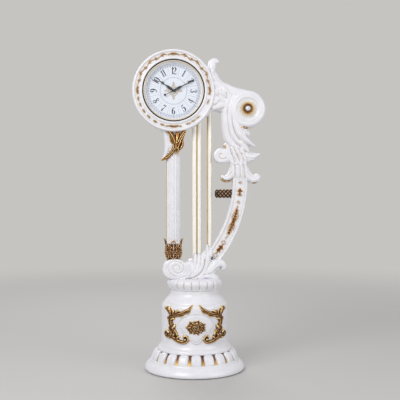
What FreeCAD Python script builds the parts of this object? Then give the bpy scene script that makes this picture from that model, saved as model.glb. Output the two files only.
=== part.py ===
# A harp-shaped longcase clock: a round white base, a fluted column, a curved sound beam,
# a leafy post and neck, a drum with a dial, and a quartz movement with its going train.
# Millimetres. X is to the viewer's right, Y away from the viewer, Z up, and the origin is
# the middle of the felt that the clock stands on.
import FreeCAD, Part
import math
import os

V = FreeCAD.Vector
os.makedirs("parts", exist_ok=True)

# Shared fits
overrun = 5.0
fit_gap = 0.3
screw_gap = 0.2
thread_gap = 0.05
pivot_gap = 0.06

# Base: felt, board and tray
felt_inset = 22.0
felt_thick = 2.0
tray_radius = 284.0
tray_toe_inset = 12.0
tray_toe_height = 8.0
tray_shoulder = 38.0
tray_height = 64.0
tray_wall = 14.0
tray_deck = 12.0
tray_skirt = 36.0
board_thick = 12.0
ballast_inset = 94.0
ballast_thick = 28.0

# Base: bead moulding and the ring above it
bead_height = 54.0
bead_lip = 9.0
bead_slope = 17.0
bead_radius = 29.0
bead_sink = 2.0
bead_count = 20
bead_wall = 22.0
step_height = 48.0
step_ring_inset = 5.0
step_ring_height = 26.0
step_sweep = 28.0

# Base: plinth body, its cap and the gadrooned ring
plinth_height = 204.0
plinth_wall = 14.0
cap_height = 78.0
cap_shoulder = 51.0
cap_deck = 12.0
gadroon_height = 70.0
gadroon_bulge = 20.0
gadroon_top_inset = 16.0
gadroon_count = 21
gadroon_groove_radius = 8.0
rod_radius = 6.0
rod_hole_gap = 0.4
nut_radius = 11.0
nut_thick = 7.0
washer_radius = 20.0
washer_thick = 3.0
rod_grip = 60.0

# Plinth ornaments
fan_width_share = 1.144
fan_height = 164.0
fan_bottom_rise = 4.0
fan_thick = 5.0
rosette_width = 104.0
rosette_height = 78.0
rosette_thick = 20.0
rosette_rise = 95.0
scroll_thick = 14.0
scroll_reach_share = 0.856
scroll_height = 200.0
scroll_bottom_rise = 10.0

# Harp foot
foot_width = 180.0
foot_height = 200.0
foot_depth = 120.0
volute_groove_radius = 46.0
volute_groove_width = 7.0
volute_groove_depth = 5.0

# Column, its base mount and its bracket
column_place_share = -0.664
column_radius = 40.0
flute_count = 16
flute_radius = 5.0
column_base_height = 96.0
column_base_radius = 50.0
column_base_foot_radius = 38.0
bracket_height = 96.0
bracket_depth = 84.0
bracket_flick = 66.0
leaf_thick = 10.0

# Drum
drum_height = 1567.0
drum_radius = 231.0
drum_front = 72.0
drum_ring_depth = 42.0
drum_channel_depth = 6.0
drum_rim_width = 14.0
drum_channel_width = 29.0
drum_slope_width = 13.5
drum_shell_inset = 6.0
drum_wall = 12.0
drum_back = 60.0
scroll_ring_wave = 5.0
scroll_ring_width = 7.0
scroll_ring_thick = 4.0
scroll_ring_waves = 12
panel_thick = 6.0
panel_recess = 4.0
lug_radius = 9.0
lug_length = 26.0
lug_inset = 11.0
screw_count = 6
screw_radius = 2.0
screw_head_radius = 4.5
screw_head_thick = 2.5
screw_length = 18.0
hatch_width = 130.0
hatch_height = 116.0
door_lap = 6.0
door_thick = 4.0
door_pull_radius = 6.0
door_pull_length = 8.0
knuckle_radius = 4.0
knuckle_length = 24.0
pin_radius = 2.0
pin_gap = 0.05
catch_size = 12.0

# Neck, volute and post
neck_span = 186.0
volute_drop = 99.0
neck_depth = 100.0
volute_radius = 106.0
volute_depth = 124.0
volute_eye_radius = 66.0
volute_eye_depth = 6.0
split_drop = 93.0
post_width = 100.0
post_height = 315.0
post_depth = 100.0
beam_inset = 40.5
beam_width = 84.0
beam_depth = 84.0
beam_edge = 9.0
flower_radius = 47.0
flower_thick = 12.0
flower_petals = 14
pearl_radius = 14.5

# Fittings on the beam
drop_thick = 6.0
drop_width = 26.0
drop_long = 82.0
drop_short = 46.0
stud_radius = 8.0
stud_thick = 5.0
boss_radius = 25.0
boss_length = 92.0
boss_drop = 70.0
dowel_radius = 5.0
dowel_length = 60.0

# Strings
string_left_radius = 12.0
string_middle_radius = 10.5
string_right_radius = 10.0
string_left_share = 0.513
string_middle_share = 0.635
string_right_share = 0.894
string_seat = 14.0
slat_thick = 4.0
slat_gap = 2.0
slat_left_width = 40.0
slat_right_width = 25.0
slat_right_shift = -3.0

# Dial insert
insert_gap = 0.3
insert_depth = 31.0
insert_inset = 2.0
bezel_depth = 11.0
bezel_width = 12.0
glass_thick = 2.0
glass_dome = 6.0
dial_border = 11.5
dial_thick = 1.0
dial_setback = 28.0
dial_lap = 4.0
dial_slope = 8.0
seat_lip = 9.0

# Hands
hour_hand_share = 0.595
hour_hand_width = 11.0
minute_hand_share = 0.785
minute_hand_width = 9.0
second_hand_share = 0.81
second_tail_share = 0.325
second_ball_radius = 6.0
second_hand_width = 1.8
hand_thick = 0.8
hand_step = 2.4
hand_hub_radius = 5.0
hour_hand_angle = 305.0
minute_hand_angle = 61.0
second_hand_angle = 63.0

# Movement
case_width = 56.0
case_above = 20.0
case_below = 36.0
case_wall = 1.5
case_inner = 12.5
case_partition = 18.0
stem_radius = 4.0
stem_length = 3.6
nut_flat_radius = 7.0
nut_height = 2.2
seconds_shaft_radius = 0.6
pipe_wall = 0.85
arbor_radius = 0.5
knob_shaft_radius = 0.8
pivot_depth = 0.9
wheel_thick = 0.8
battery_radius = 7.0
battery_length = 48.5
battery_tip_radius = 2.7
battery_tip_length = 1.2
contact_thick = 0.4
contact_radius = 3.0
coil_radius = 3.4
coil_length = 20.0
stator_thick = 0.8
stator_rim = 1.6
board_side = 18.0
circuit_thick = 1.0
rotor_radius = 3.0
rotor_length = 3.2
knob_radius = 6.0
knob_length = 4.0
hatch_gap = 0.4

# Tooth counts and modules of the train
seconds_pinion_teeth = 10
third_wheel_teeth = 75
third_pinion_teeth = 9
centre_wheel_teeth = 72
cannon_pinion_teeth = 10
minute_wheel_teeth = 30
minute_pinion_teeth = 8
hour_wheel_teeth = 32
seconds_wheel_teeth = 60
step_pinion_teeth = 12
step_wheel_teeth = 60
rotor_pinion_teeth = 10
knob_pinion_teeth = 15
third_distance = 11.5
step_distance = 11.6
rotor_distance = 8.8
motion_distance = 8.0

# Radii of the base, each from the one below it
tray_toe_radius = tray_radius - tray_toe_inset
tray_top_radius = tray_radius - tray_shoulder
felt_radius = tray_radius - felt_inset
board_radius = tray_radius - tray_skirt
ballast_radius = tray_radius - ballast_inset
bead_ring_low_radius = tray_top_radius - bead_lip
bead_ring_top_radius = bead_ring_low_radius - bead_slope
bead_centre_radius = bead_ring_top_radius - bead_sink
step_ring_radius = bead_ring_top_radius - step_ring_inset
plinth_radius = step_ring_radius - step_sweep
cap_neck_radius = plinth_radius - cap_shoulder
gadroon_radius = cap_neck_radius + gadroon_bulge
gadroon_top_radius = cap_neck_radius - gadroon_top_inset
fan_width = plinth_radius * fan_width_share
scroll_reach = plinth_radius * scroll_reach_share

# Radii of the drum, from its rim to the dial, and the hands
drum_channel_out_radius = drum_radius - drum_rim_width
drum_channel_in_radius = drum_channel_out_radius - drum_channel_width
insert_radius = drum_channel_in_radius - drum_slope_width
dial_radius = insert_radius - dial_border
scroll_ring_radius = (drum_channel_out_radius + drum_channel_in_radius) / 2
hour_hand_length = dial_radius * hour_hand_share
minute_hand_length = dial_radius * minute_hand_share
second_hand_length = dial_radius * second_hand_share
second_hand_tail = dial_radius * second_tail_share

# Heights and places worked out from the sizes above
board_top = felt_thick + board_thick
tray_top = felt_thick + tray_height
bead_top = tray_top + bead_height
step_top = bead_top + step_height
plinth_top = step_top + plinth_height
cap_top = plinth_top + cap_height
gadroon_top = cap_top + gadroon_height
foot_base = gadroon_top
column_x = foot_width * column_place_share
drum_x = column_x
drum_z = drum_height
neck_reach = drum_radius + neck_span
string_left_x = drum_x + drum_radius * string_left_share
string_middle_x = drum_x + drum_radius * string_middle_share
string_right_x = drum_x + drum_radius * string_right_share
volute_x = drum_x + neck_reach
volute_z = drum_z - volute_drop
split_z = volute_z - split_drop
post_bottom = split_z - post_height
beam_top_x = volute_x - beam_inset
rod_hole_radius = rod_radius + rod_hole_gap
minute_pipe_bore = seconds_shaft_radius + pivot_gap
minute_pipe_radius = minute_pipe_bore + pipe_wall
hour_pipe_bore = minute_pipe_radius + pivot_gap
hour_pipe_radius = hour_pipe_bore + pipe_wall
stem_bore = hour_pipe_radius + pivot_gap


# Drawing helpers
def wire(start, strokes, place):
    """A closed wire: after the start, one point is a line, two an arc, more a smooth curve."""
    edges = []
    here = start
    for stroke in list(strokes) + [[start]]:
        points = [V(*place(*p)) for p in [here] + list(stroke)]
        if len(points) == 2:
            if points[0].distanceToPoint(points[1]) > fit_gap / 1000:
                edges.append(Part.LineSegment(points[0], points[1]).toShape())
        elif len(points) == 3:
            edges.append(Part.Arc(*points).toShape())
        else:
            curve = Part.BSplineCurve()
            curve.interpolate(points)
            edges.append(curve.toShape())
        here = stroke[-1]
    return Part.Wire(edges)


def spun(start, strokes):
    """A body turned about the Z axis from an outline of radius and height."""
    face = Part.Face(wire(start, strokes, lambda r, z: (r, 0, z)))
    return face.revolve(V(0, 0, 0), V(0, 0, 1), 360)


def spun_on_drum(start, strokes):
    """A body turned about the drum's axis from an outline of radius and depth."""
    face = Part.Face(wire(start, strokes, lambda r, y: (drum_x + r, y, drum_z)))
    return face.revolve(V(drum_x, 0, drum_z), V(0, 1, 0), 360)


def slab(start, strokes, front, back):
    """A flat outline in the front view, given thickness from front to back."""
    face = Part.Face(wire(start, strokes, lambda x, z: (x, front, z)))
    return face.extrude(V(0, back - front, 0))


def scaled(points, origin_x, origin_z, width, height):
    """Turns one stroke of shares into millimetres."""
    return [(origin_x + a * width, origin_z + b * height) for a, b in points]


def shaped(outline, origin_x, origin_z, width, height, front, back):
    """A slab whose outline is written as shares of a width and a height."""
    strokes = [scaled(s, origin_x, origin_z, width, height) for s in outline]
    return slab(strokes[0][0], strokes[1:], front, back)


def rod_y(radius, x, z, front, back):
    """A round bar along Y."""
    return Part.makeCylinder(radius, back - front, V(x, front, z), V(0, 1, 0))


def rod_z(radius, x, y, low, high):
    """A round bar along Z."""
    return Part.makeCylinder(radius, high - low, V(x, y, low))


def block(x0, x1, y0, y1, z0, z1):
    return Part.makeBox(x1 - x0, y1 - y0, z1 - z0, V(x0, y0, z0))


def turned(shape, degrees, x, z):
    """Turns a shape about an axis along Y, clockwise as the viewer sees it."""
    copy = shape.copy()
    copy.rotate(V(x, 0, z), V(0, 1, 0), degrees)
    return copy


def around_z(shape, count, first=0.0):
    """Copies of a shape spaced evenly round the Z axis."""
    copies = []
    for i in range(count):
        copy = shape.copy()
        copy.rotate(V(0, 0, 0), V(0, 0, 1), first + 360.0 * i / count)
        copies.append(copy)
    return copies


def fused(shapes):
    first = shapes[0]
    return first.fuse(shapes[1:]).removeSplitter() if len(shapes) > 1 else first


def save(name, *solids):
    """Writes the solids of one node."""
    shape = solids[0] if len(solids) == 1 else Part.makeCompound(list(solids))
    shape.exportStep("parts/" + name + ".step")


# Base
def make_base():
    felt = rod_z(felt_radius, 0, 0, 0, felt_thick)
    save("base_felt", felt)

    rod_hole = rod_z(rod_hole_radius, 0, 0, felt_thick, foot_base + foot_height)
    board = rod_z(board_radius, 0, 0, felt_thick, board_top)
    nut_room = rod_z(washer_radius + rod_hole_gap, 0, 0, felt_thick, board_top)
    save("bottom_board", board.cut(nut_room))

    recess = board_radius + fit_gap
    cavity = board_radius - tray_wall
    deck_low = tray_top - tray_deck
    toe_z = felt_thick + tray_toe_height
    shoulder_share = (0.55, 0.62)
    tray_bulge = (
        tray_top_radius + (tray_radius - tray_top_radius) * shoulder_share[0],
        toe_z + (tray_top - toe_z) * shoulder_share[1],
    )
    cavity_top_radius = min(cavity, tray_top_radius - tray_wall)
    tray = spun(
        (recess, felt_thick),
        [
            [(tray_toe_radius, felt_thick)],
            [(tray_radius, toe_z)],
            [tray_bulge, (tray_top_radius, tray_top)],
            [(rod_hole_radius, tray_top)],
            [(rod_hole_radius, deck_low)],
            [(cavity_top_radius, deck_low)],
            [(cavity, board_top)],
            [(recess, board_top)],
        ],
    )
    save("base_tray", tray)

    ballast = rod_z(ballast_radius, 0, 0, board_top, board_top + ballast_thick)
    save("ballast_disc", ballast.cut(rod_hole))

    # The ring has a row of round beads, and the grooves between them are gilded.
    inner = bead_ring_top_radius - bead_wall
    ring = spun(
        (inner, tray_top),
        [
            [(bead_ring_low_radius, tray_top)],
            [(bead_ring_top_radius, bead_top)],
            [(inner, bead_top)],
        ],
    )
    bead_mid = (tray_top + bead_top) / 2
    bead = Part.makeSphere(bead_radius, V(0, -bead_centre_radius, bead_mid))
    level = spun(
        (inner, tray_top),
        [
            [(bead_centre_radius + 2 * bead_radius, tray_top)],
            [(bead_centre_radius + 2 * bead_radius, bead_top)],
            [(inner, bead_top)],
        ],
    )
    beads = [b.common(level) for b in around_z(bead, bead_count)]
    save("bead_moulding", fused([ring] + beads))

    ring_mid = bead_top + step_ring_height / 2
    sweep_share = (0.42, 0.30)
    sweep = (
        plinth_radius + (step_ring_radius - plinth_radius) * sweep_share[0],
        bead_top + step_ring_height + (step_height - step_ring_height) * sweep_share[1],
    )
    ring_lip = step_ring_radius - step_ring_height / 2
    step = spun(
        (plinth_radius - plinth_wall, bead_top),
        [
            [(ring_lip, bead_top)],
            [(step_ring_radius, ring_mid), (ring_lip, bead_top + step_ring_height)],
            [sweep, (plinth_radius, step_top)],
            [(plinth_radius - plinth_wall, step_top)],
        ],
    )
    save("plinth_foot", step)

    body = spun(
        (plinth_radius - plinth_wall, step_top),
        [
            [(plinth_radius, step_top)],
            [(plinth_radius, plinth_top)],
            [(plinth_radius - plinth_wall, plinth_top)],
        ],
    )
    save("plinth_body", fused([body, fan_panel()]))

    # The cap runs from a rounded shoulder through a hollow to a narrow neck.
    shoulder_share = [(0.9, 0.12), (0.69, 0.31)]
    hollow_share = [(0.51, 0.45), (0.29, 0.59), (0.1, 0.74), (0.0, 0.9)]
    spread = plinth_radius - cap_neck_radius
    shoulder = [(cap_neck_radius + a * spread, plinth_top + b * cap_height) for a, b in shoulder_share]
    hollow = [(cap_neck_radius + a * spread, plinth_top + b * cap_height) for a, b in hollow_share]
    cap = spun(
        (rod_hole_radius, plinth_top),
        [
            [(plinth_radius, plinth_top)],
            shoulder,
            hollow,
            [(cap_neck_radius, cap_top)],
            [(rod_hole_radius, cap_top)],
        ],
    )
    room = spun(
        (rod_hole_radius, plinth_top),
        [
            [(cap_neck_radius - plinth_wall, plinth_top)],
            [(cap_neck_radius - plinth_wall, cap_top - cap_deck)],
            [(rod_hole_radius, cap_top - cap_deck)],
        ],
    )
    save("plinth_cap", cap.cut(room))

    # The ring is divided into rounded lobes by upright grooves.
    bulge_share = 0.42
    gadroon = spun(
        (rod_hole_radius, cap_top),
        [
            [(cap_neck_radius, cap_top)],
            [
                (gadroon_radius, cap_top + gadroon_height * bulge_share),
                (gadroon_top_radius, gadroon_top),
            ],
            [(rod_hole_radius, gadroon_top)],
        ],
    )
    groove = rod_z(gadroon_groove_radius, 0, -gadroon_radius, cap_top - overrun, gadroon_top + overrun)
    grooves = around_z(groove, gadroon_count, 180.0 / gadroon_count)
    save("gadroon_ring", gadroon.cut(grooves))

    # A long rod clamps the base together and screws up into the foot of the harp.
    washer_low = board_top - washer_thick
    nut_low = washer_low - nut_thick
    rod = rod_z(rod_radius, 0, 0, nut_low, foot_base + rod_grip)
    washer = rod_z(washer_radius, 0, 0, washer_low, board_top)
    nut = hexagon(nut_radius, 0, 0, nut_low, washer_low)
    hole = rod_z(rod_radius + thread_gap, 0, 0, felt_thick, board_top + overrun)
    save("tie_nut_and_washer", washer.cut(hole), nut.cut(hole))
    return rod


def hexagon(radius, x, y, low, high):
    """A six-sided nut standing along Z."""
    corners = [
        V(x + radius * math.cos(math.radians(60 * i)), y + radius * math.sin(math.radians(60 * i)), low)
        for i in range(7)
    ]
    return Part.Face(Part.makePolygon(corners)).extrude(V(0, 0, high - low))


# Plinth ornaments, which are cut to the round of the body that they lie on
def shell_front(inner, outer, low, high):
    """The front half of a tube about the Z axis."""
    tube = rod_z(outer, 0, 0, low, high).cut(rod_z(inner, 0, 0, low, high))
    return tube.common(block(-outer, outer, -outer - overrun, 0, low, high))


def ribbon(centres, halves):
    """The outline of a band that follows points, with its own half width at each point."""
    left, right = [], []
    for i, (x, z) in enumerate(centres):
        ax, az = centres[max(i - 1, 0)]
        bx, bz = centres[min(i + 1, len(centres) - 1)]
        run = math.hypot(bx - ax, bz - az)
        nx, nz = -(bz - az) / run, (bx - ax) / run
        left.append((x + nx * halves[i], z + nz * halves[i]))
        right.append((x - nx * halves[i], z - nz * halves[i]))
    return left[0], [left[1:], [right[-1]], right[::-1][1:]]


def fan_panel():
    """The fan-shaped panel that stands out of the plinth's front."""
    fan_low = step_top + fan_bottom_rise
    half = fan_width / 2
    fan_share = [
        [(0.14, 0.02)],
        [(0.92, 0.52)],
        [(1.0, 0.60), (0.90, 0.70)],
        [(0.0, 1.0), (-0.90, 0.70)],
        [(-1.0, 0.60), (-0.92, 0.52)],
        [(-0.14, 0.02)],
        [(0.0, 0.0), (0.14, 0.02)],
    ]
    fan = shaped(fan_share, 0, fan_low, half, fan_height, -plinth_radius - 2 * fan_thick, 0)
    inner = plinth_radius - plinth_wall / 2
    return fan.common(shell_front(inner, plinth_radius + fan_thick, step_top, plinth_top))


def make_plinth_ornaments():
    fan_face = plinth_radius + fan_thick
    rosette_z = step_top + rosette_rise
    oval = ellipse_bar(0, rosette_z, rosette_width / 2, rosette_height / 2, fan_face)
    save(
        "base_rosette",
        oval.common(shell_front(fan_face, fan_face + rosette_thick, step_top, plinth_top)),
    )

    # Each scroll is a tall stem with a leaf at the top and a curl at the bottom.
    stem_share = [
        (-0.10, 0.92),
        (-0.35, 0.80),
        (-0.70, 0.76),
        (-0.80, 0.50),
        (-0.74, 0.24),
        (-0.50, 0.06),
        (-0.28, 0.05),
    ]
    stem_half_share = [0.10, 0.32, 0.36, 0.38, 0.46, 0.34, 0.46]
    horn_share = [(-0.68, 0.72), (-0.82, 0.86), (-0.98, 0.96)]
    horn_half_share = [0.22, 0.26, 0.22]
    curl_share = [(-0.70, 0.22), (-0.86, 0.16), (-0.95, 0.30)]
    curl_half_share = [0.30, 0.34, 0.30]
    band = shell_front(plinth_radius, plinth_radius + scroll_thick, step_top, plinth_top)
    low = step_top + scroll_bottom_rise
    breadth = scroll_reach / 8
    for side, name in ((1, "base_scroll_left"), (-1, "base_scroll_right")):
        limbs = []
        for centres, halves in (
            (stem_share, stem_half_share),
            (horn_share, horn_half_share),
            (curl_share, curl_half_share),
        ):
            path = [(side * a * scroll_reach, low + b * scroll_height) for a, b in centres]
            start, strokes = ribbon(path, [h * breadth for h in halves])
            limbs.append(slab(start, strokes, -plinth_radius - 2 * scroll_thick, 0))
        save(name, largest(fused(limbs).common(band).cut(fan_panel())))


def ellipse_bar(x, z, half_width, half_height, reach):
    """An oval bar that runs from the middle of the base out past its front."""
    arc = Part.Ellipse(V(x, 0, z), half_width, half_height)
    edge = arc.toShape()
    edge.rotate(V(x, 0, z), V(1, 0, 0), 90)
    return Part.Face(Part.Wire([edge])).extrude(V(0, -2 * reach, 0))


# Harp foot, column and bracket
def beam_arc():
    """The centre, radius and sweep of the beam, from its seat on the foot to the post."""
    seat_share = (0.586, 0.56)
    seat_x = foot_width * seat_share[0]
    seat_z = foot_base + foot_height * seat_share[1]
    across = beam_top_x - seat_x
    down = post_bottom - seat_z
    radius = (across**2 + down**2) / (2 * across)
    return beam_top_x - radius, post_bottom, radius, math.asin(down / radius)


def beam_band(grow=0.0, forward=0.0):
    """The curved beam as a slab, a little larger all round or at its front where it is a cutter."""
    cx, cz, radius, sweep = beam_arc()
    inner, outer = radius - beam_width / 2 - grow, radius + beam_width / 2 + grow
    end = sweep + grow / radius
    mid = end / 2

    def at(r, angle):
        return (cx + r * math.cos(angle), cz - r * math.sin(angle))

    half = beam_depth / 2 + grow
    return slab(
        at(inner, 0.0),
        [
            [at(outer, 0.0)],
            [at(outer, mid), at(outer, end)],
            [at(inner, end)],
            [at(inner, mid), at(inner, 0.0)],
        ],
        -half - forward,
        half,
    )


def make_foot():
    foot_share = [
        [(-0.56, 0.0)],
        [(-0.90, 0.08), (-0.99, 0.27)],
        [(-0.96, 0.42), (-0.86, 0.46)],
        [(-0.44, 0.46)],
        [(-0.30, 0.40)],
        [(-0.20, 0.48), (-0.06, 0.60), (0.12, 0.70)],
        [(0.22, 0.62)],
        [(0.38, 0.86)],
        [(0.46, 0.80)],
        [(0.56, 0.92)],
        [(0.70, 0.48)],
        [(0.84, 0.50), (0.98, 0.36), (1.0, 0.24)],
        [(0.96, 0.14), (0.88, 0.14)],
        [(0.84, 0.24), (0.74, 0.22)],
        [(0.62, 0.13), (0.58, 0.0)],
    ]
    half = foot_depth / 2
    foot = shaped(foot_share, 0, foot_base, foot_width, foot_height, -half, half)
    foot = foot.common(block(-foot_width, foot_width, -half, half, foot_base, foot_base + foot_height))
    foot = foot.cut(beam_band(grow=screw_gap, forward=foot_depth))
    thread_radius = rod_radius + thread_gap
    foot = foot.cut(
        rod_z(thread_radius, 0, 0, foot_base - overrun, foot_base + rod_grip + rod_hole_gap)
    )
    foot_top = foot_base + foot_height * 0.46
    foot = foot.cut(rod_z(thread_radius, column_x, 0, foot_top - rod_grip, foot_top + overrun))
    groove_centre = (column_x + volute_groove_width, foot_base + foot_height * 0.25)
    for side in (-1, 1):
        y0, y1 = sorted((side * half, side * (half - volute_groove_depth)))
        for share in (1.0, 0.55):
            radius = volute_groove_radius * share
            ring = rod_y(radius, *groove_centre, y0, y1).cut(
                rod_y(radius - volute_groove_width, *groove_centre, y0, y1)
            )
            foot = foot.cut(ring)
    for x, radius in string_list():
        hole = rod_z(radius + screw_gap, x, 0, string_low(x) - screw_gap, foot_base + 2 * foot_height)
        foot = foot.cut(hole)
    for slat in slats(grow=screw_gap):
        foot = foot.cut(slat)
    foot = foot.cut(dowel_holes())
    save("harp_foot", foot)
    return foot_top


def make_column(foot_top, tie_rod):
    base_top = foot_top + column_base_height
    bulge_share = [(1.0, 0.30), (0.96, 0.55), (0.82, 0.82)]
    bulge = [(column_base_radius * a, foot_top + column_base_height * b) for a, b in bulge_share]
    hole = rod_z(rod_hole_radius, column_x, 0, foot_top - overrun, base_top + overrun)
    outline = wire(
        (rod_hole_radius, foot_top),
        [
            [(column_base_foot_radius, foot_top)],
            bulge,
            [(column_radius, base_top)],
            [(rod_hole_radius, base_top)],
        ],
        lambda r, z: (column_x + r, 0, z),
    )
    mount = Part.Face(outline).revolve(V(column_x, 0, 0), V(0, 0, 1), 360)
    # Two small leaves flick outwards at the top of the mount.
    flick_share = [[(0.70, 0.70)], [(0.95, 0.80), (1.22, 1.06)], [(1.02, 1.02), (0.82, 0.92)]]
    flicks = []
    for side in (-1, 1):
        breadth = side * column_base_radius
        strokes = [scaled(s, column_x, foot_top, breadth, column_base_height) for s in flick_share]
        flicks.append(slab(strokes[0][0], strokes[1:], -leaf_thick, leaf_thick))
    column_space = rod_z(column_radius + fit_gap, column_x, 0, base_top, base_top + column_base_height)
    save("column_base", fused([mount] + flicks).cut(column_space).cut(hole))

    shaft_top = drum_z - drum_radius - bracket_height
    shaft = rod_z(column_radius, column_x, 0, base_top, shaft_top)
    flute = rod_z(
        flute_radius, column_x + column_radius, 0, base_top + flute_radius, shaft_top - flute_radius
    )
    flutes = []
    for i in range(flute_count):
        copy = flute.copy()
        copy.rotate(V(column_x, 0, 0), V(0, 0, 1), 360.0 * i / flute_count)
        flutes.append(copy)
    shaft = shaft.cut(flutes)
    shaft = shaft.cut(rod_z(rod_hole_radius, column_x, 0, base_top - overrun, shaft_top + overrun))
    save("column_shaft", shaft)

    rod_low = foot_top - rod_grip + rod_hole_gap
    column_rod = rod_z(rod_radius, column_x, 0, rod_low, shaft_top + rod_grip)
    save("threaded_rods", tie_rod, column_rod)

    # The bracket spreads from the column to the drum, with a leaf tip at its left.
    half = bracket_depth / 2
    bracket_share = [
        [(-1.0, 0.0)],
        [(-1.30, 0.0)],
        [(-1.27, 0.40), (-1.42, 0.92), (-2.70, 1.36)],
        [(1.55, 1.22)],
        [(1.20, 0.80), (1.04, 0.40), (1.0, 0.0)],
    ]
    bracket = shaped(bracket_share, column_x, shaft_top, column_radius, bracket_height, -half, half)
    tip_share = [
        [(-0.90, 0.02)],
        [(-1.30, 0.02)],
        [(-1.40, -0.50), (-1.78, -0.94)],
        [(-1.36, -0.98), (-0.90, -0.50)],
    ]
    tip = shaped(tip_share, column_x, shaft_top, column_radius, bracket_flick, -half, half)
    bracket = fused([bracket, tip])
    bracket = bracket.cut(
        rod_z(column_radius + fit_gap, column_x, 0, shaft_top - 2 * bracket_flick, shaft_top)
    )
    bracket = bracket.cut(drum_space())
    bracket = bracket.cut(
        rod_z(rod_radius + thread_gap, column_x, 0, shaft_top - overrun, shaft_top + rod_grip + fit_gap)
    )
    save("column_bracket", bracket.cut(drum_dowel_hole()))

    # A gilt leaf lies across the bracket's front and trails down its left edge.
    leaf_share = [
        [(-1.0, 1.02)],
        [(-0.40, 0.98)],
        [(0.20, 0.86)],
        [(1.38, 1.10)],
        [(1.05, 0.70), (0.95, 0.40)],
        [(1.05, -0.10)],
        [(0.40, 0.28)],
        [(0.05, 0.30)],
        [(-0.20, -0.16), (-0.90, -0.52)],
        [(-1.74, -0.66)],
        [(-0.90, -0.30), (-0.34, 0.22)],
        [(-0.62, 0.50)],
        [(-0.50, 0.80)],
    ]
    leaf = shaped(
        leaf_share, column_x, shaft_top, column_radius, bracket_height, -half - leaf_thick, -half
    )
    save("bracket_leaf", leaf.cut(drum_space()))


def drum_space():
    """The room that the drum's ring and shell take, for cutting what meets them."""
    ring = rod_y(drum_radius, drum_x, drum_z, -drum_front - overrun, -drum_front + drum_ring_depth)
    shell = rod_y(
        drum_radius - drum_shell_inset, drum_x, drum_z, -drum_front + drum_ring_depth, drum_back
    )
    return fused([ring, shell])


# Strings and the gilt slats behind them
def string_list():
    return [
        (string_left_x, string_left_radius),
        (string_middle_x, string_middle_radius),
        (string_right_x, string_right_radius),
    ]


def string_low(x):
    """Where a string's lower end sits: in the foot, or on the beam's inner side further right."""
    cx, cz, radius, sweep = beam_arc()
    inner = radius - beam_width / 2
    if x < cx + inner * math.cos(sweep):
        return foot_base + foot_height * 0.30
    return cz - math.sqrt(max(inner**2 - (x - cx) ** 2, 0.0))


def string_high(x):
    """Where a string's upper end sits under the drum, just inside the shell."""
    reach = math.sqrt(max((drum_radius - drum_shell_inset) ** 2 - (x - drum_x) ** 2, 0.0))
    return drum_z - reach


def slats(grow=0.0):
    """A slat behind the left pair of strings, and one behind the right string."""
    back = max(string_left_radius, string_right_radius) + slat_gap
    made = []
    for x, width in (
        ((string_left_x + string_middle_x) / 2, slat_left_width),
        (string_right_x + slat_right_shift, slat_right_width),
    ):
        low = string_low(x)
        made.append(
            block(
                x - width / 2 - grow,
                x + width / 2 + grow,
                back - grow,
                back + slat_thick + grow,
                low - grow,
                string_high(x + width / 2) + string_seat + grow,
            )
        )
    return made


def largest(shape):
    """The largest solid of a shape that a cut has divided."""
    return max(shape.Solids, key=lambda s: s.Volume)


def make_strings():
    taken = [drum_space(), beam_band(grow=screw_gap)]
    rods = [
        rod_z(radius, x, 0, string_low(x), string_high(x) + string_seat) for x, radius in string_list()
    ]
    save("string_rods", *[largest(rod.cut(taken)) for rod in rods])
    save("string_slats", *[largest(slat.cut(taken)) for slat in slats()])


# Neck with its volute, the leafy post and the curved beam
def dowels(grow=0.0):
    """Dowels along Z, which join the post to the neck and the beam to the post."""
    made = []
    half = dowel_length / 2 + grow
    for x, z in ((volute_x - volute_radius * 0.8, split_z), (beam_top_x, post_bottom)):
        made.append(rod_z(dowel_radius + grow, x, 0, z - half, z + half))
    return made


def dowel_holes():
    return Part.makeCompound(dowels(grow=screw_gap) + [foot_dowel(grow=screw_gap)])


def foot_dowel(grow=0.0):
    """The dowel that pins the beam's lower end into the foot, along the beam."""
    cx, cz, radius, sweep = beam_arc()
    end = V(cx + radius * math.cos(sweep), 0, cz - radius * math.sin(sweep))
    along = V(-math.sin(sweep), 0, -math.cos(sweep))
    half = dowel_length / 2 + grow
    return Part.makeCylinder(dowel_radius + grow, 2 * half, end - along * half, along)


def drum_dowel(grow=0.0):
    """The dowel that joins the neck to the drum's shell."""
    half = dowel_length / 2 + grow
    middle = drum_x + drum_radius - drum_shell_inset
    return Part.makeCylinder(
        dowel_radius + grow,
        half + drum_wall * 0.7,
        V(middle - drum_wall * 0.7, 0, drum_z - volute_drop * 0.3),
        V(1, 0, 0),
    )


def drum_dowel_hole():
    return drum_dowel(grow=screw_gap)


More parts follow.
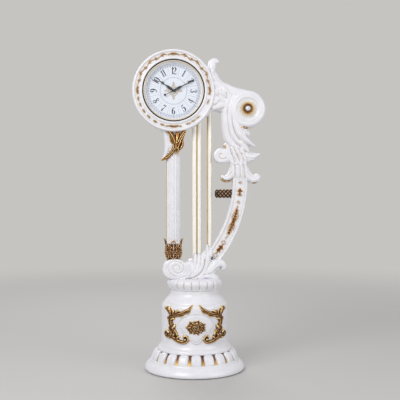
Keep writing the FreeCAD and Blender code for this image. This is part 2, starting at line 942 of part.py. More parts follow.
def make_neck():
    half = neck_depth / 2
    neck_share = [
        [(0.451, 1.38)],
        [(0.470, 1.58), (0.495, 1.78), (0.541, 1.92), (0.590, 1.87)],
        [(0.632, 1.71)],
        [
            (0.590, 1.50),
            (0.566, 1.31),
            (0.590, 1.00),
            (0.66, 0.62),
            (0.78, 0.32),
            (0.90, 0.13),
            (1.0, 0.071),
        ],
        [(1.0, -1.94)],
        [(0.675, -1.94)],
        [(0.660, -1.60), (0.650, -1.23)],
        [(0.600, -1.09), (0.520, -1.07)],
        [(0.470, -1.20), (0.400, -1.60)],
        [(0.30, 0.0)],
    ]
    body = shaped(neck_share, drum_x, drum_z, neck_reach, volute_drop, -half, half)
    body = body.cut(
        block(
            drum_x,
            volute_x + 2 * volute_radius,
            -half - overrun,
            half + overrun,
            split_z - volute_radius,
            split_z,
        )
    )
    roll = rod_y(volute_radius, volute_x, volute_z, -volute_depth / 2, volute_depth / 2)
    eye = rod_y(
        volute_eye_radius,
        volute_x,
        volute_z,
        -volute_depth / 2 - overrun,
        -volute_depth / 2 + volute_eye_depth,
    )
    neck = fused([body, roll]).cut(eye).cut(drum_space())
    neck = neck.cut(dowel_holes()).cut(drum_dowel_hole())
    for x, radius in string_list():
        neck = neck.cut(rod_z(radius + screw_gap, x, 0, foot_base, string_high(x) + 2 * string_seat))
    for slat in slats(grow=screw_gap):
        neck = neck.cut(slat)
    save("neck", neck)

    seat = -volute_depth / 2 + volute_eye_depth
    petals = [rod_y(flower_radius * 0.62, volute_x, volute_z, seat - flower_thick, seat)]
    petal_radius = flower_radius * 0.2
    for i in range(flower_petals):
        angle = 2 * math.pi * i / flower_petals
        reach = flower_radius - petal_radius
        petals.append(
            rod_y(
                petal_radius,
                volute_x + reach * math.cos(angle),
                volute_z + reach * math.sin(angle),
                seat - flower_thick / 2,
                seat,
            )
        )
    pearl_y = seat - max(flower_thick, pearl_radius)
    pearl = Part.makeSphere(pearl_radius, V(volute_x, pearl_y, volute_z))
    save("volute_flower", fused(petals).cut(pearl))
    save("volute_pearl", pearl)


def make_post():
    half = post_depth / 2
    post_share = [
        [(-0.985, 1.0)],
        [(-0.905, 0.87), (-0.825, 0.71)],
        [(-0.885, 0.61)],
        [(-1.1, 0.586)],
        [(-1.495, 0.46), (-1.1, 0.332)],
        [(-0.705, 0.36)],
        [(-0.505, 0.29), (-0.485, 0.20), (-0.665, 0.13), (-1.015, 0.11)],
        [(-0.965, 0.04), (-0.745, 0.0)],
        [(0.555, 0.0)],
        [(0.935, -0.01), (1.155, 0.04), (1.225, 0.11), (1.115, 0.17)],
        [(0.855, 0.08), (0.575, 0.14), (0.395, 0.26), (0.375, 0.36)],
        [(0.815, 0.40), (1.185, 0.51)],
        [(0.855, 0.52), (0.505, 0.62)],
        [(0.885, 0.65)],
        [(0.715, 0.73), (0.515, 0.83)],
        [(0.675, 0.89), (0.555, 0.96)],
        [(0.255, 1.0)],
    ]
    post = shaped(post_share, beam_top_x, post_bottom, post_width, post_height, -half, half)
    roll = rod_y(volute_radius + fit_gap, volute_x, volute_z, -volute_depth, volute_depth)
    save("leaf_post", post.cut(roll).cut(dowel_holes()))

    beam = beam_band()
    long_edges = []
    for edge in beam.Edges:
        level = abs(edge.Vertexes[0].Y - edge.Vertexes[-1].Y) < fit_gap
        if level and edge.Length > beam_depth * 1.5:
            long_edges.append(edge)
    beam = beam.makeFillet(beam_edge, long_edges)
    save("sound_beam", beam.cut(dowel_holes()))

    dowel_list = dowels() + [foot_dowel(), drum_dowel()]
    save("frame_dowels", *dowel_list)


def make_beam_fittings():
    cx, cz, radius, sweep = beam_arc()
    front = -beam_depth / 2
    pieces = []
    leaf_share = [
        [(0.0, -0.5)],
        [(0.42, -0.12), (0.5, 0.1)],
        [(0.30, 0.34), (0.0, 0.5)],
        [(-0.30, 0.34), (-0.5, 0.1)],
        [(-0.42, -0.12), (0.0, -0.5)],
    ]
    for place, length in (
        (0.13, drop_short), (0.445, drop_long), (0.57, drop_long), (0.86, drop_short * 1.2)
    ):
        angle = sweep * place
        x, z = cx + radius * math.cos(angle), cz - radius * math.sin(angle)
        leaf = shaped(leaf_share, x, z, drop_width, length, front - drop_thick, front)
        pieces.append(turned(leaf, math.degrees(angle), x, z))
    for place in (0.02, 0.235, 0.33, 0.70, 0.77, 0.965):
        angle = sweep * place
        x, z = cx + radius * math.cos(angle), cz - radius * math.sin(angle)
        pieces.append(rod_y(stud_radius, x, z, front - stud_thick, front))
    save("beam_mounts", *pieces)

    # A dark bronze boss stands out of the beam's inner side.
    angle = math.asin(boss_drop / (radius - beam_width / 2))
    side_x = cx + (radius - beam_width / 2) * math.cos(angle)
    boss_z = cz - boss_drop
    nose_x = side_x - boss_length + boss_radius
    bar = Part.makeCylinder(boss_radius, boss_length, V(nose_x, 0, boss_z), V(1, 0, 0))
    nose = Part.makeSphere(boss_radius, V(nose_x, 0, boss_z))
    boss = fused([bar, nose]).cut(beam_band())
    save("bronze_boss", min(boss.Solids, key=lambda s: s.CenterOfMass.x))


# Drum: ring, shell, back panel and its door
def make_drum():
    front = -drum_front
    ring_back = front + drum_ring_depth
    opening = insert_radius + insert_gap
    channel = front + drum_channel_depth
    insert_front = front + insert_inset
    insert_back = insert_front + insert_depth
    rim = (drum_channel_out_radius + drum_radius) / 2
    ring = spun_on_drum(
        (opening, insert_back),
        [
            [(opening, insert_front)],
            [((opening + drum_channel_in_radius) / 2, front), (drum_channel_in_radius, channel)],
            [(drum_channel_out_radius, channel)],
            [(rim, front), (drum_radius, channel + drum_channel_depth)],
            [(drum_radius, ring_back)],
            [(opening - seat_lip, ring_back)],
            [(opening - seat_lip, insert_back)],
        ],
    )
    save("drum_ring", ring)

    # The gilt scrollwork winds round the channel in even waves.
    waves = []
    count = 4 * scroll_ring_waves
    for side in (1, -1):
        points = []
        for i in range(count):
            angle = 2 * math.pi * i / count
            wave = scroll_ring_wave * math.sin(scroll_ring_waves * angle)
            r = scroll_ring_radius + wave + side * scroll_ring_width / 2
            points.append(
                V(
                    drum_x + r * math.cos(angle),
                    channel - scroll_ring_thick,
                    drum_z + r * math.sin(angle),
                )
            )
        curve = Part.BSplineCurve()
        curve.interpolate(points, PeriodicFlag=True)
        waves.append(Part.Face(Part.Wire([curve.toShape()])).extrude(V(0, scroll_ring_thick, 0)))
    save("drum_scrollwork", waves[0].cut(waves[1]))

    outer = drum_radius - drum_shell_inset
    inner = outer - drum_wall
    shell = rod_y(outer, drum_x, drum_z, ring_back, drum_back).cut(
        rod_y(inner, drum_x, drum_z, ring_back, drum_back)
    )
    panel_front = drum_back - panel_recess - panel_thick
    lug_ring = inner - lug_inset
    lugs, holes, screws, panel_holes = [], [], [], []
    for i in range(screw_count):
        angle = 2 * math.pi * (i + 0.5) / screw_count
        x, z = drum_x + lug_ring * math.cos(angle), drum_z + lug_ring * math.sin(angle)
        lugs.append(rod_y(lug_radius, x, z, panel_front - lug_length, panel_front))
        wx, wz = drum_x + inner * math.cos(angle), drum_z + inner * math.sin(angle)
        web = block(
            -lug_radius, lug_radius, panel_front - lug_length, panel_front, 0, lug_inset + drum_wall / 2
        )
        web.rotate(V(0, 0, 0), V(0, 1, 0), 90 - math.degrees(angle))
        web.translate(V(x, 0, z))
        lugs.append(web)
        head_top = drum_back - panel_recess + screw_head_thick
        tip = panel_front + panel_thick - screw_length
        holes.append(rod_y(screw_radius + screw_gap, x, z, tip - screw_gap, drum_back))
        shank = rod_y(screw_radius, x, z, tip, panel_front + panel_thick)
        head = rod_y(screw_head_radius, x, z, panel_front + panel_thick, head_top)
        screws.append(fused([shank, head]))
    shell = fused([shell] + lugs)
    shell = shell.common(rod_y(outer, drum_x, drum_z, ring_back, drum_back)).cut(holes)
    shell = shell.cut(drum_dowel_hole())
    save("drum_shell", shell)

    panel_back = drum_back - panel_recess
    panel = rod_y(inner - fit_gap, drum_x, drum_z, panel_front, panel_back)
    hatch = block(
        drum_x - hatch_width / 2,
        drum_x + hatch_width / 2,
        panel_front - overrun,
        panel_back + overrun,
        drum_z - hatch_height / 2,
        drum_z + hatch_height / 2,
    )
    panel = panel.cut(hatch).cut(holes)

    # The door hangs on a pin at its left, in knuckles of the door and of the panel.
    door_front = panel_back + fit_gap
    door_left = drum_x - hatch_width / 2 - door_lap
    door_right = drum_x + hatch_width / 2 + door_lap
    door_low = drum_z - hatch_height / 2 - door_lap
    door_high = drum_z + hatch_height / 2 + door_lap
    pin_x = door_left - knuckle_radius
    pin_y = door_front + knuckle_radius + fit_gap
    bore = pin_radius + pin_gap
    knuckle_half = knuckle_length / 2
    door = block(door_left, door_right, door_front, door_front + door_thick, door_low, door_high)
    middle = rod_z(knuckle_radius, pin_x, pin_y, drum_z - knuckle_half, drum_z + knuckle_half)
    arm = block(
        pin_x,
        door_left + knuckle_radius,
        pin_y - knuckle_radius,
        door_front + door_thick,
        drum_z - knuckle_half,
        drum_z + knuckle_half,
    )
    door = fused([door, middle, arm])
    swing_radius = knuckle_radius + fit_gap
    room_below = rod_z(swing_radius, pin_x, pin_y, door_low - overrun, drum_z - knuckle_half)
    room_above = rod_z(swing_radius, pin_x, pin_y, drum_z + knuckle_half, door_high + overrun)
    door = door.cut(room_below.fuse(room_above))
    door = door.cut(rod_z(bore, pin_x, pin_y, door_low, door_high))
    pull_x = door_right - door_lap - 2 * door_pull_radius
    pull = rod_y(
        door_pull_radius, pull_x, drum_z, door_front, door_front + door_thick + door_pull_length
    )
    save("back_door", fused([door, pull]))

    ears = []
    for side in (-1, 1):
        start = drum_z + side * (knuckle_half + hatch_gap)
        low, high = sorted((start, start + side * knuckle_length))
        barrel = rod_z(knuckle_radius, pin_x, pin_y, low, high)
        pad = block(pin_x - knuckle_radius, pin_x + knuckle_radius * 0.6, panel_back, pin_y, low, high)
        ears.append(barrel.fuse(pad).cut(rod_z(bore, pin_x, pin_y, low, high)))
    panel = fused([panel] + ears)
    save("back_panel", panel)
    pin_low = drum_z - knuckle_half - hatch_gap - knuckle_length
    pin_high = drum_z + knuckle_half + hatch_gap + knuckle_length
    save("door_hinge_pin", rod_z(pin_radius, pin_x, pin_y, pin_low, pin_high))

    # A magnet block inside the panel holds the door's right edge.
    half = catch_size / 2
    catch_x = drum_x + hatch_width / 2
    save(
        "door_magnet",
        block(
            catch_x,
            catch_x + catch_size,
            panel_front - catch_size,
            panel_front,
            drum_z - half,
            drum_z + half,
        ),
    )
    return screws


# Dial insert: carrier ring, bezel, glass and dial
def make_insert(panel_screws):
    front = -drum_front + insert_inset
    back = front + insert_depth
    dial_front = front + dial_setback
    dial_back = dial_front + dial_thick
    bezel_back = front + bezel_depth
    inner = dial_radius - dial_lap
    carrier = spun_on_drum(
        (inner, bezel_back),
        [
            [(insert_radius, bezel_back)],
            [(insert_radius, back)],
            [(dial_radius + fit_gap, back)],
            [(dial_radius + fit_gap, dial_front)],
            [(inner - dial_slope, dial_front)],
        ],
    )
    screws = []
    clamp_ring = dial_radius + dial_lap
    head_radius = dial_lap * 1.5
    for i in range(4):
        angle = math.pi * (0.25 + 0.5 * i)
        x, z = drum_x + clamp_ring * math.cos(angle), drum_z + clamp_ring * math.sin(angle)
        reach = (dial_front - bezel_back) * 0.7
        shank = rod_y(screw_radius, x, z, dial_back - reach, dial_back)
        head = rod_y(head_radius, x, z, dial_back, back)
        screws.append(fused([shank, head]))
        carrier = carrier.cut(
            rod_y(screw_radius + screw_gap, x, z, dial_back - reach - screw_gap, dial_back)
        )
        carrier = carrier.cut(rod_y(head_radius + screw_gap, x, z, dial_back, back + overrun))
    save("insert_ring", carrier)
    save("case_screws", *(panel_screws + screws))

    edge = insert_radius - bezel_width
    glass_seat = front + bezel_depth * 0.5
    bezel = spun_on_drum(
        (edge + dial_lap, bezel_back),
        [
            [(edge + dial_lap, glass_seat)],
            [(edge, glass_seat)],
            [(edge, front + bezel_depth * 0.3)],
            [(insert_radius - bezel_width * 0.45, front), (insert_radius, front + bezel_depth * 0.4)],
            [(insert_radius, bezel_back)],
        ],
    )
    save("bezel", bezel)

    # The glass is a shallow dome, part of a sphere, with a flat rim held in the bezel.
    rim = edge + dial_lap - fit_gap
    dome_edge = edge - fit_gap
    apex = glass_seat - glass_dome
    sphere = (dome_edge**2 + glass_dome**2) / (2 * glass_dome)
    half_angle = math.asin(dome_edge / sphere) / 2
    mid_r = sphere * math.sin(half_angle)
    mid_y = apex + sphere * (1 - math.cos(half_angle))
    glass = spun_on_drum(
        (0.0, apex),
        [
            [(mid_r, mid_y), (dome_edge, glass_seat)],
            [(rim, glass_seat)],
            [(rim, glass_seat + glass_thick)],
            [(dome_edge, glass_seat + glass_thick)],
            [(mid_r, mid_y + glass_thick), (0.0, apex + glass_thick)],
        ],
    )
    save("dial_glass", glass)

    dial = rod_y(dial_radius, drum_x, drum_z, dial_front, dial_back)
    dial = dial.cut(
        rod_y(stem_radius + screw_gap, drum_x, drum_z, dial_front - overrun, dial_back + overrun)
    )
    save("dial_plate", dial)
    return dial_front


# Teeth with straight flanks and plenty of backlash
def gear(teeth, pitch_radius, x, z, front, back, tooth_angle, core=0.0):
    """A spur gear about an axis along Y, with one tooth at tooth_angle in the front view."""
    module = 2 * pitch_radius / teeth
    tip = pitch_radius + 0.62 * module
    root = max(pitch_radius - 0.95 * module, core)
    pitch = 2 * math.pi / teeth
    points = []
    for i in range(teeth):
        centre = tooth_angle + i * pitch
        for r, share in ((root, -0.29), (tip, -0.11), (tip, 0.11), (root, 0.29)):
            angle = centre + share * pitch
            points.append(V(x + r * math.cos(angle), front, z + r * math.sin(angle)))
    points.append(points[0])
    return Part.Face(Part.makePolygon(points)).extrude(V(0, back - front, 0))


def mate_angle(tooth_angle, teeth, direction, mate_teeth):
    """The tooth angle of a gear that meshes with another, which lies in this direction from it."""
    pitch = 2 * math.pi / teeth
    mate_pitch = 2 * math.pi / mate_teeth
    offset = (direction - tooth_angle) / pitch
    return direction + math.pi - mate_pitch * (0.5 - offset)


def hand(length, width, angle, front, hub, tail=0.0):
    """A spade hand: broad near the hub, thin in the middle and broad again before its point."""
    half = width / 2
    neck = half * 0.22
    blade_share = [
        [(0.30, 0.02)],
        [(1.0, 0.16), (0.22, 0.46)],
        [(0.22, 0.66)],
        [(0.86, 0.80), (0.10, 0.94)],
        [(0.0, 1.0)],
    ]
    right = blade_share
    left = [
        [(-0.10, 0.94)],
        [(-0.86, 0.80), (-0.22, 0.66)],
        [(-0.22, 0.46)],
        [(-1.0, 0.16), (-0.30, 0.02)],
    ]
    blade = shaped(right + left, drum_x, drum_z, half + neck, length, front, front + hand_thick)
    disc = rod_y(hub, drum_x, drum_z, front, front + hand_thick)
    return turned(fused([blade, disc]), angle, drum_x, drum_z)


# Quartz movement, hands and going train
def make_movement(dial_front):
    front = dial_front + dial_thick
    inside = front + case_wall
    inside_back = inside + case_inner
    back = inside_back + case_wall
    left, right = drum_x - case_width / 2, drum_x + case_width / 2
    low, high = drum_z - case_below, drum_z + case_above
    shelf = drum_z - case_partition
    stem_front = front - dial_thick - stem_length

    case = block(left, right, front, inside_back, low, high)
    room = block(
        left + case_wall, right - case_wall, inside, inside_back + overrun, shelf, high - case_wall
    )
    bay = block(
        left + case_wall,
        right - case_wall,
        inside,
        inside_back + overrun,
        low + case_wall,
        shelf - case_wall,
    )
    stem = rod_y(stem_radius, drum_x, drum_z, stem_front, front)
    stem_hole = rod_y(stem_bore, drum_x, drum_z, stem_front - overrun, inside + overrun)
    case = fused([case.cut(room).cut(bay), stem]).cut(stem_hole)

    nut_back = dial_front
    corners = [
        V(
            drum_x + nut_flat_radius * math.cos(math.radians(60 * i)),
            nut_back - nut_height,
            drum_z + nut_flat_radius * math.sin(math.radians(60 * i)),
        )
        for i in range(7)
    ]
    nut = Part.Face(Part.makePolygon(corners)).extrude(V(0, nut_height, 0))
    save(
        "movement_nut",
        nut.cut(rod_y(stem_radius, drum_x, drum_z, nut_back - 2 * nut_height, nut_back + overrun)),
    )

    # Axes of the train in the front view, as a direction and a distance from one another
    third_way = math.radians(180)
    step_way = math.radians(30)
    rotor_way = math.radians(-30)
    motion_way = math.radians(90)
    knob_way = math.radians(140)
    third = (
        drum_x + third_distance * math.cos(third_way), drum_z + third_distance * math.sin(third_way)
    )
    step = (drum_x + step_distance * math.cos(step_way), drum_z + step_distance * math.sin(step_way))
    rotor = (
        step[0] + rotor_distance * math.cos(rotor_way), step[1] + rotor_distance * math.sin(rotor_way)
    )
    motion = (
        drum_x + motion_distance * math.cos(motion_way), drum_z + motion_distance * math.sin(motion_way)
    )
    minute_radius = motion_distance * minute_wheel_teeth / (minute_wheel_teeth + cannon_pinion_teeth)
    knob_pinion_radius = minute_radius * knob_pinion_teeth / minute_wheel_teeth
    knob_distance = minute_radius + knob_pinion_radius
    knob = (
        motion[0] + knob_distance * math.cos(knob_way), motion[1] + knob_distance * math.sin(knob_way)
    )

    # Every arbor runs in a blind hole at each end, and the minute wheel on a stud of the case.
    stud_back = inside + case_inner * 0.048 + case_inner * 0.144 + wheel_thick * 1.4
    case = fused([case, rod_y(arbor_radius, *motion, front, stud_back)])
    pivots = [third, step, rotor]
    for centre in pivots:
        case = case.cut(
            rod_y(arbor_radius + pivot_gap, *centre, inside - pivot_depth - pivot_gap, inside + overrun)
        )
    case = case.cut(
        rod_y(knob_shaft_radius + pivot_gap, *knob, inside - pivot_depth - pivot_gap, inside + overrun)
    )
    save("movement_case", case)

    # Layers of wheels, from the dial side to the back
    pitch = case_inner * 0.144
    hour_y = inside + case_inner * 0.048
    motion_y = hour_y + pitch
    centre_y = motion_y + pitch
    third_y = centre_y + pitch
    seconds_y = third_y + pitch
    step_y = seconds_y + pitch
    pinion_over = wheel_thick * 0.25
    pivot_front = inside - pivot_depth
    pivot_back = inside_back + pivot_depth

    def wheel(teeth, mate, distance, centre, y, angle, core=0.0, over=0.0):
        radius = distance * teeth / (teeth + mate)
        return gear(teeth, radius, centre[0], centre[1], y - over, y + wheel_thick + over, angle, core)

    middle = (drum_x, drum_z)
    # Seconds: shaft, pinion for the third wheel, and wheel driven by the stepping pinion
    seconds_front = stem_front - 3 * hand_step
    shaft = rod_y(seconds_shaft_radius, drum_x, drum_z, seconds_front, pivot_back)
    s_pinion = wheel(
        seconds_pinion_teeth,
        third_wheel_teeth,
        third_distance,
        middle,
        third_y,
        third_way,
        0.0,
        pinion_over,
    )
    s_wheel = wheel(seconds_wheel_teeth, step_pinion_teeth, step_distance, middle, seconds_y, step_way)
    save("seconds_wheel", fused([shaft, s_pinion, s_wheel]))

    t_angle = mate_angle(third_way, seconds_pinion_teeth, third_way, third_wheel_teeth)
    t_wheel = wheel(third_wheel_teeth, seconds_pinion_teeth, third_distance, third, third_y, t_angle)
    back_way = third_way + math.pi
    t_pinion = wheel(
        third_pinion_teeth,
        centre_wheel_teeth,
        third_distance,
        third,
        centre_y,
        back_way,
        0.0,
        pinion_over,
    )
    t_arbor = rod_y(arbor_radius, *third, pivot_front, pivot_back)
    save("third_wheel", fused([t_arbor, t_wheel, t_pinion]))

    c_angle = mate_angle(back_way, third_pinion_teeth, back_way, centre_wheel_teeth)
    c_wheel = wheel(centre_wheel_teeth, third_pinion_teeth, third_distance, middle, centre_y, c_angle)
    cannon = wheel(
        cannon_pinion_teeth,
        minute_wheel_teeth,
        motion_distance,
        middle,
        motion_y,
        motion_way,
        minute_pipe_radius,
        pinion_over,
    )
    minute_front = stem_front - 2 * hand_step
    pipe = rod_y(minute_pipe_radius, drum_x, drum_z, minute_front, centre_y + wheel_thick)
    pipe_bore = rod_y(
        minute_pipe_bore, drum_x, drum_z, minute_front - overrun, centre_y + wheel_thick + overrun
    )
    save("centre_wheel", fused([pipe, cannon, c_wheel]).cut(pipe_bore))

    m_angle = mate_angle(motion_way, cannon_pinion_teeth, motion_way, minute_wheel_teeth)
    m_wheel = wheel(minute_wheel_teeth, cannon_pinion_teeth, motion_distance, motion, motion_y, m_angle)
    down_way = motion_way + math.pi
    m_pinion = wheel(
        minute_pinion_teeth,
        hour_wheel_teeth,
        motion_distance,
        motion,
        hour_y,
        down_way,
        0.0,
        pinion_over,
    )
    m_hub = rod_y(2 * arbor_radius, *motion, hour_y, motion_y + wheel_thick)
    m_bore = rod_y(arbor_radius + pivot_gap, *motion, inside, centre_y)
    save("minute_wheel", fused([m_wheel, m_pinion, m_hub]).cut(m_bore))

    h_angle = mate_angle(down_way, minute_pinion_teeth, down_way, hour_wheel_teeth)
    h_wheel = wheel(hour_wheel_teeth, minute_pinion_teeth, motion_distance, middle, hour_y, h_angle)
    hour_front = stem_front - hand_step
    h_pipe = rod_y(hour_pipe_radius, drum_x, drum_z, hour_front, hour_y + wheel_thick)
    h_bore = rod_y(hour_pipe_bore, drum_x, drum_z, hour_front - overrun, hour_y + wheel_thick + overrun)
    save("hour_wheel", fused([h_pipe, h_wheel]).cut(h_bore))

    i_angle = mate_angle(step_way, seconds_wheel_teeth, step_way, step_pinion_teeth)
    i_pinion = wheel(
        step_pinion_teeth,
        seconds_wheel_teeth,
        step_distance,
        step,
        seconds_y,
        i_angle,
        0.0,
        pinion_over,
    )
    i_wheel = wheel(step_wheel_teeth, rotor_pinion_teeth, rotor_distance, step, step_y, rotor_way)
    i_arbor = rod_y(arbor_radius, *step, pivot_front, pivot_back)
    save("stepping_wheel", fused([i_arbor, i_pinion, i_wheel]))

    r_angle = mate_angle(rotor_way, step_wheel_teeth, rotor_way, rotor_pinion_teeth)
    r_pinion = wheel(
        rotor_pinion_teeth, step_wheel_teeth, rotor_distance, rotor, step_y, r_angle, 0.0, pinion_over
    )
    magnet_back = step_y - wheel_thick
    magnet = rod_y(rotor_radius, *rotor, magnet_back - rotor_length, magnet_back)
    r_arbor = rod_y(arbor_radius, *rotor, pivot_front, pivot_back)
    save("rotor", fused([r_arbor, r_pinion, magnet]))

    k_angle = mate_angle(m_angle, minute_wheel_teeth, knob_way, knob_pinion_teeth)
    k_front = motion_y - pinion_over
    k_pinion = gear(
        knob_pinion_teeth,
        knob_pinion_radius,
        *knob,
        k_front,
        motion_y + wheel_thick + pinion_over,
        k_angle,
    )
    k_shaft = rod_y(knob_shaft_radius, *knob, pivot_front, back + knob_length)
    k_grip = rod_y(knob_radius, *knob, back + fit_gap, back + knob_length)
    save("setting_knob", fused([k_shaft, k_pinion, k_grip]))

    cover = block(left, right, inside_back, back, shelf - case_wall, high)
    cover = cover.cut(
        rod_y(knob_shaft_radius + pivot_gap, *knob, inside_back - overrun, back + overrun)
    )
    cover = cover.cut(
        rod_y(seconds_shaft_radius + pivot_gap, *middle, inside_back - overrun, pivot_back + pivot_gap)
    )
    for centre in pivots:
        cover = cover.cut(
            rod_y(arbor_radius + pivot_gap, *centre, inside_back - overrun, pivot_back + pivot_gap)
        )
    save("movement_cover", cover)

    battery_z = (low + case_wall + shelf - case_wall) / 2
    battery_y = inside + fit_gap + battery_radius
    battery_left = drum_x - battery_length / 2
    cell = Part.makeCylinder(
        battery_radius,
        battery_length - battery_tip_length,
        V(battery_left, battery_y, battery_z),
        V(1, 0, 0),
    )
    tip = Part.makeCylinder(
        battery_tip_radius, battery_length, V(battery_left, battery_y, battery_z), V(1, 0, 0)
    )
    save("battery", cell.fuse(tip))
    contacts = []
    for side in (-1, 1):
        wall_x = drum_x + side * (case_width / 2 - case_wall)
        cell_end = drum_x + side * (battery_length / 2 + fit_gap)
        x0, x1 = sorted((wall_x, wall_x - side * contact_thick))
        plate = block(x0, x1, inside, inside_back - case_wall, low + case_wall, shelf - case_wall)
        x0, x1 = sorted((wall_x, cell_end))
        dimple = Part.makeCylinder(contact_radius, x1 - x0, V(x0, battery_y, battery_z), V(1, 0, 0))
        contacts.append(fused([plate, dimple]))
    save("battery_contacts", *contacts)

    # The coil lies on the shelf below the rotor, and its stator reaches up round the rotor.
    coil_y = magnet_back - rotor_length / 2
    coil_z = shelf + coil_radius
    coil_left = right - case_wall - fit_gap - coil_length
    coil = Part.makeCylinder(coil_radius, coil_length, V(coil_left, coil_y, coil_z), V(1, 0, 0))
    save("motor_coil", coil)
    stator_half = rotor_radius + fit_gap + stator_rim
    stator = block(
        rotor[0] - stator_half,
        rotor[0] + stator_half,
        coil_y - stator_thick / 2,
        coil_y + stator_thick / 2,
        coil_z + coil_radius,
        rotor[1] + stator_half,
    )
    save("motor_stator", stator.cut(rod_y(rotor_radius + fit_gap, *rotor, inside, inside_back)))
    board_right = right - case_wall
    board_top_z = high - case_wall
    circuit = block(
        board_right - board_side * 0.45,
        board_right,
        inside,
        inside + circuit_thick,
        board_top_z - board_side,
        board_top_z,
    )
    save("circuit_board", circuit)

    # Hands
    hour = hand(hour_hand_length, hour_hand_width, hour_hand_angle, hour_front, hand_hub_radius)
    save(
        "hour_hand",
        hour.cut(rod_y(hour_pipe_radius, drum_x, drum_z, hour_front - overrun, hour_front + overrun)),
    )
    minute = hand(
        minute_hand_length, minute_hand_width, minute_hand_angle, minute_front, hand_hub_radius
    )
    save(
        "minute_hand",
        minute.cut(
            rod_y(minute_pipe_radius, drum_x, drum_z, minute_front - overrun, minute_front + overrun)
        ),
    )
    half = second_hand_width / 2
    needle = slab(
        (drum_x - half, drum_z - second_hand_tail),
        [
            [(drum_x + half, drum_z - second_hand_tail)],
            [(drum_x + half * 0.4, drum_z + second_hand_length)],
            [(drum_x - half * 0.4, drum_z + second_hand_length)],
        ],
        seconds_front,
        seconds_front + hand_thick,
    )
    ball = rod_y(
        second_ball_radius, drum_x, drum_z - second_hand_tail, seconds_front, seconds_front + hand_thick
    )
    hub = rod_y(hand_hub_radius * 0.6, drum_x, drum_z, seconds_front, seconds_front + hand_thick)
    second = turned(fused([needle, ball, hub]), second_hand_angle, drum_x, drum_z)
    save(
        "second_hand",
        second.cut(
            rod_y(
                seconds_shaft_radius, drum_x, drum_z, seconds_front - overrun, seconds_front + overrun
            )
        ),
    )


base_rod = make_base()
make_plinth_ornaments()
foot_seat = make_foot()
make_column(foot_seat, base_rod)
make_strings()
make_neck()
make_post()
make_beam_fittings()
case_screw_list = make_drum()
dial_face = make_insert(case_screw_list)
make_movement(dial_face)
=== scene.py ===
import math

import bmesh
import bpy
import numpy as np
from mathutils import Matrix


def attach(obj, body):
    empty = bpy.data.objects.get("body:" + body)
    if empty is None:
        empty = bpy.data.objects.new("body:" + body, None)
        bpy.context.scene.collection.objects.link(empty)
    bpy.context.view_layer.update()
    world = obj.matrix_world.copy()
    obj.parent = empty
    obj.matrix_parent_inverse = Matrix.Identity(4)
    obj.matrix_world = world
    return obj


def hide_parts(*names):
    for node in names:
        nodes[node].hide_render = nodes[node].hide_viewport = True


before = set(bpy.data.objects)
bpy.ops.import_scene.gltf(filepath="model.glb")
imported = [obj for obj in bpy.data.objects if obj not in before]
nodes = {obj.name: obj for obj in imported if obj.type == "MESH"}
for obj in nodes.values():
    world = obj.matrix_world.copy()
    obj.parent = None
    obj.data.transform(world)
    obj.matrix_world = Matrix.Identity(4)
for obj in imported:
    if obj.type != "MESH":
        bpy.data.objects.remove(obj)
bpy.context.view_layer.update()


# Camera
# The clock is seen level from about four metres, with the camera at half its height and three
# degrees round to the viewer's left, where the beads and the lobes of the base line up as they should.
camera_turn = math.radians(-3.0)
camera_data = bpy.data.cameras.new("camera")
camera_data.lens = 63.3
camera_data.sensor_width = 36.0
camera = bpy.data.objects.new("camera", camera_data)
camera.location = (-0.178, -3.996, 0.9538)
camera.rotation_euler = (math.radians(90.0), 0.0, camera_turn)
bpy.context.scene.collection.objects.link(camera)
bpy.context.scene.camera = camera
bpy.context.scene.view_settings.view_transform = "Standard"


# Studio
# A pale grey floor that fades into a backdrop of the same grey, and three large soft lamps: the
# main one high on the left, a weaker one on the right and one behind that draws the outline.
def colour(code):
    """Turns an sRGB hex colour into the linear numbers that Blender works in."""
    parts = [int(code[i:i + 2], 16) / 255 for i in (1, 3, 5)]
    return tuple(c / 12.92 if c <= 0.04045 else ((c + 0.055) / 1.055) ** 2.4 for c in parts) + (1.0,)


def put(tree, node, inputs):
    """Sets inputs of a node: to a plain value, or to a link from a socket or from a node's first one."""
    for socket, value in inputs.items():
        if isinstance(value, bpy.types.Node):
            value = value.outputs[0]
        if isinstance(value, bpy.types.NodeSocket):
            tree.links.new(value, node.inputs[socket])
        else:
            node.inputs[socket].default_value = value
    return node


def add(tree, kind, inputs, **settings):
    """Adds a node of a kind with its inputs and settings."""
    node = tree.nodes.new(kind)
    for name, value in settings.items():
        setattr(node, name, value)
    return put(tree, node, inputs)


def ranged(tree, value, low, high, to_low=0.0, to_high=1.0, **settings):
    """Maps one range of a value onto another, and holds it there."""
    inputs = {"Value": value, "From Min": low, "From Max": high, "To Min": to_low, "To Max": to_high}
    return add(tree, "ShaderNodeMapRange", inputs, **settings)


def calc(tree, operation, *values):
    """One step of arithmetic on numbers, sockets or nodes."""
    return add(tree, "ShaderNodeMath", dict(enumerate(values)), operation=operation)


def new_material(name):
    """An empty material with its tree and principled shader."""
    material = bpy.data.materials.new(name)
    material.use_nodes = True
    tree = material.node_tree
    return material, tree, tree.nodes["Principled BSDF"]


backdrop_grey = "#c6c4c1"
floor_radius = 14.0
floor_rings = 24
floor_sides = 96

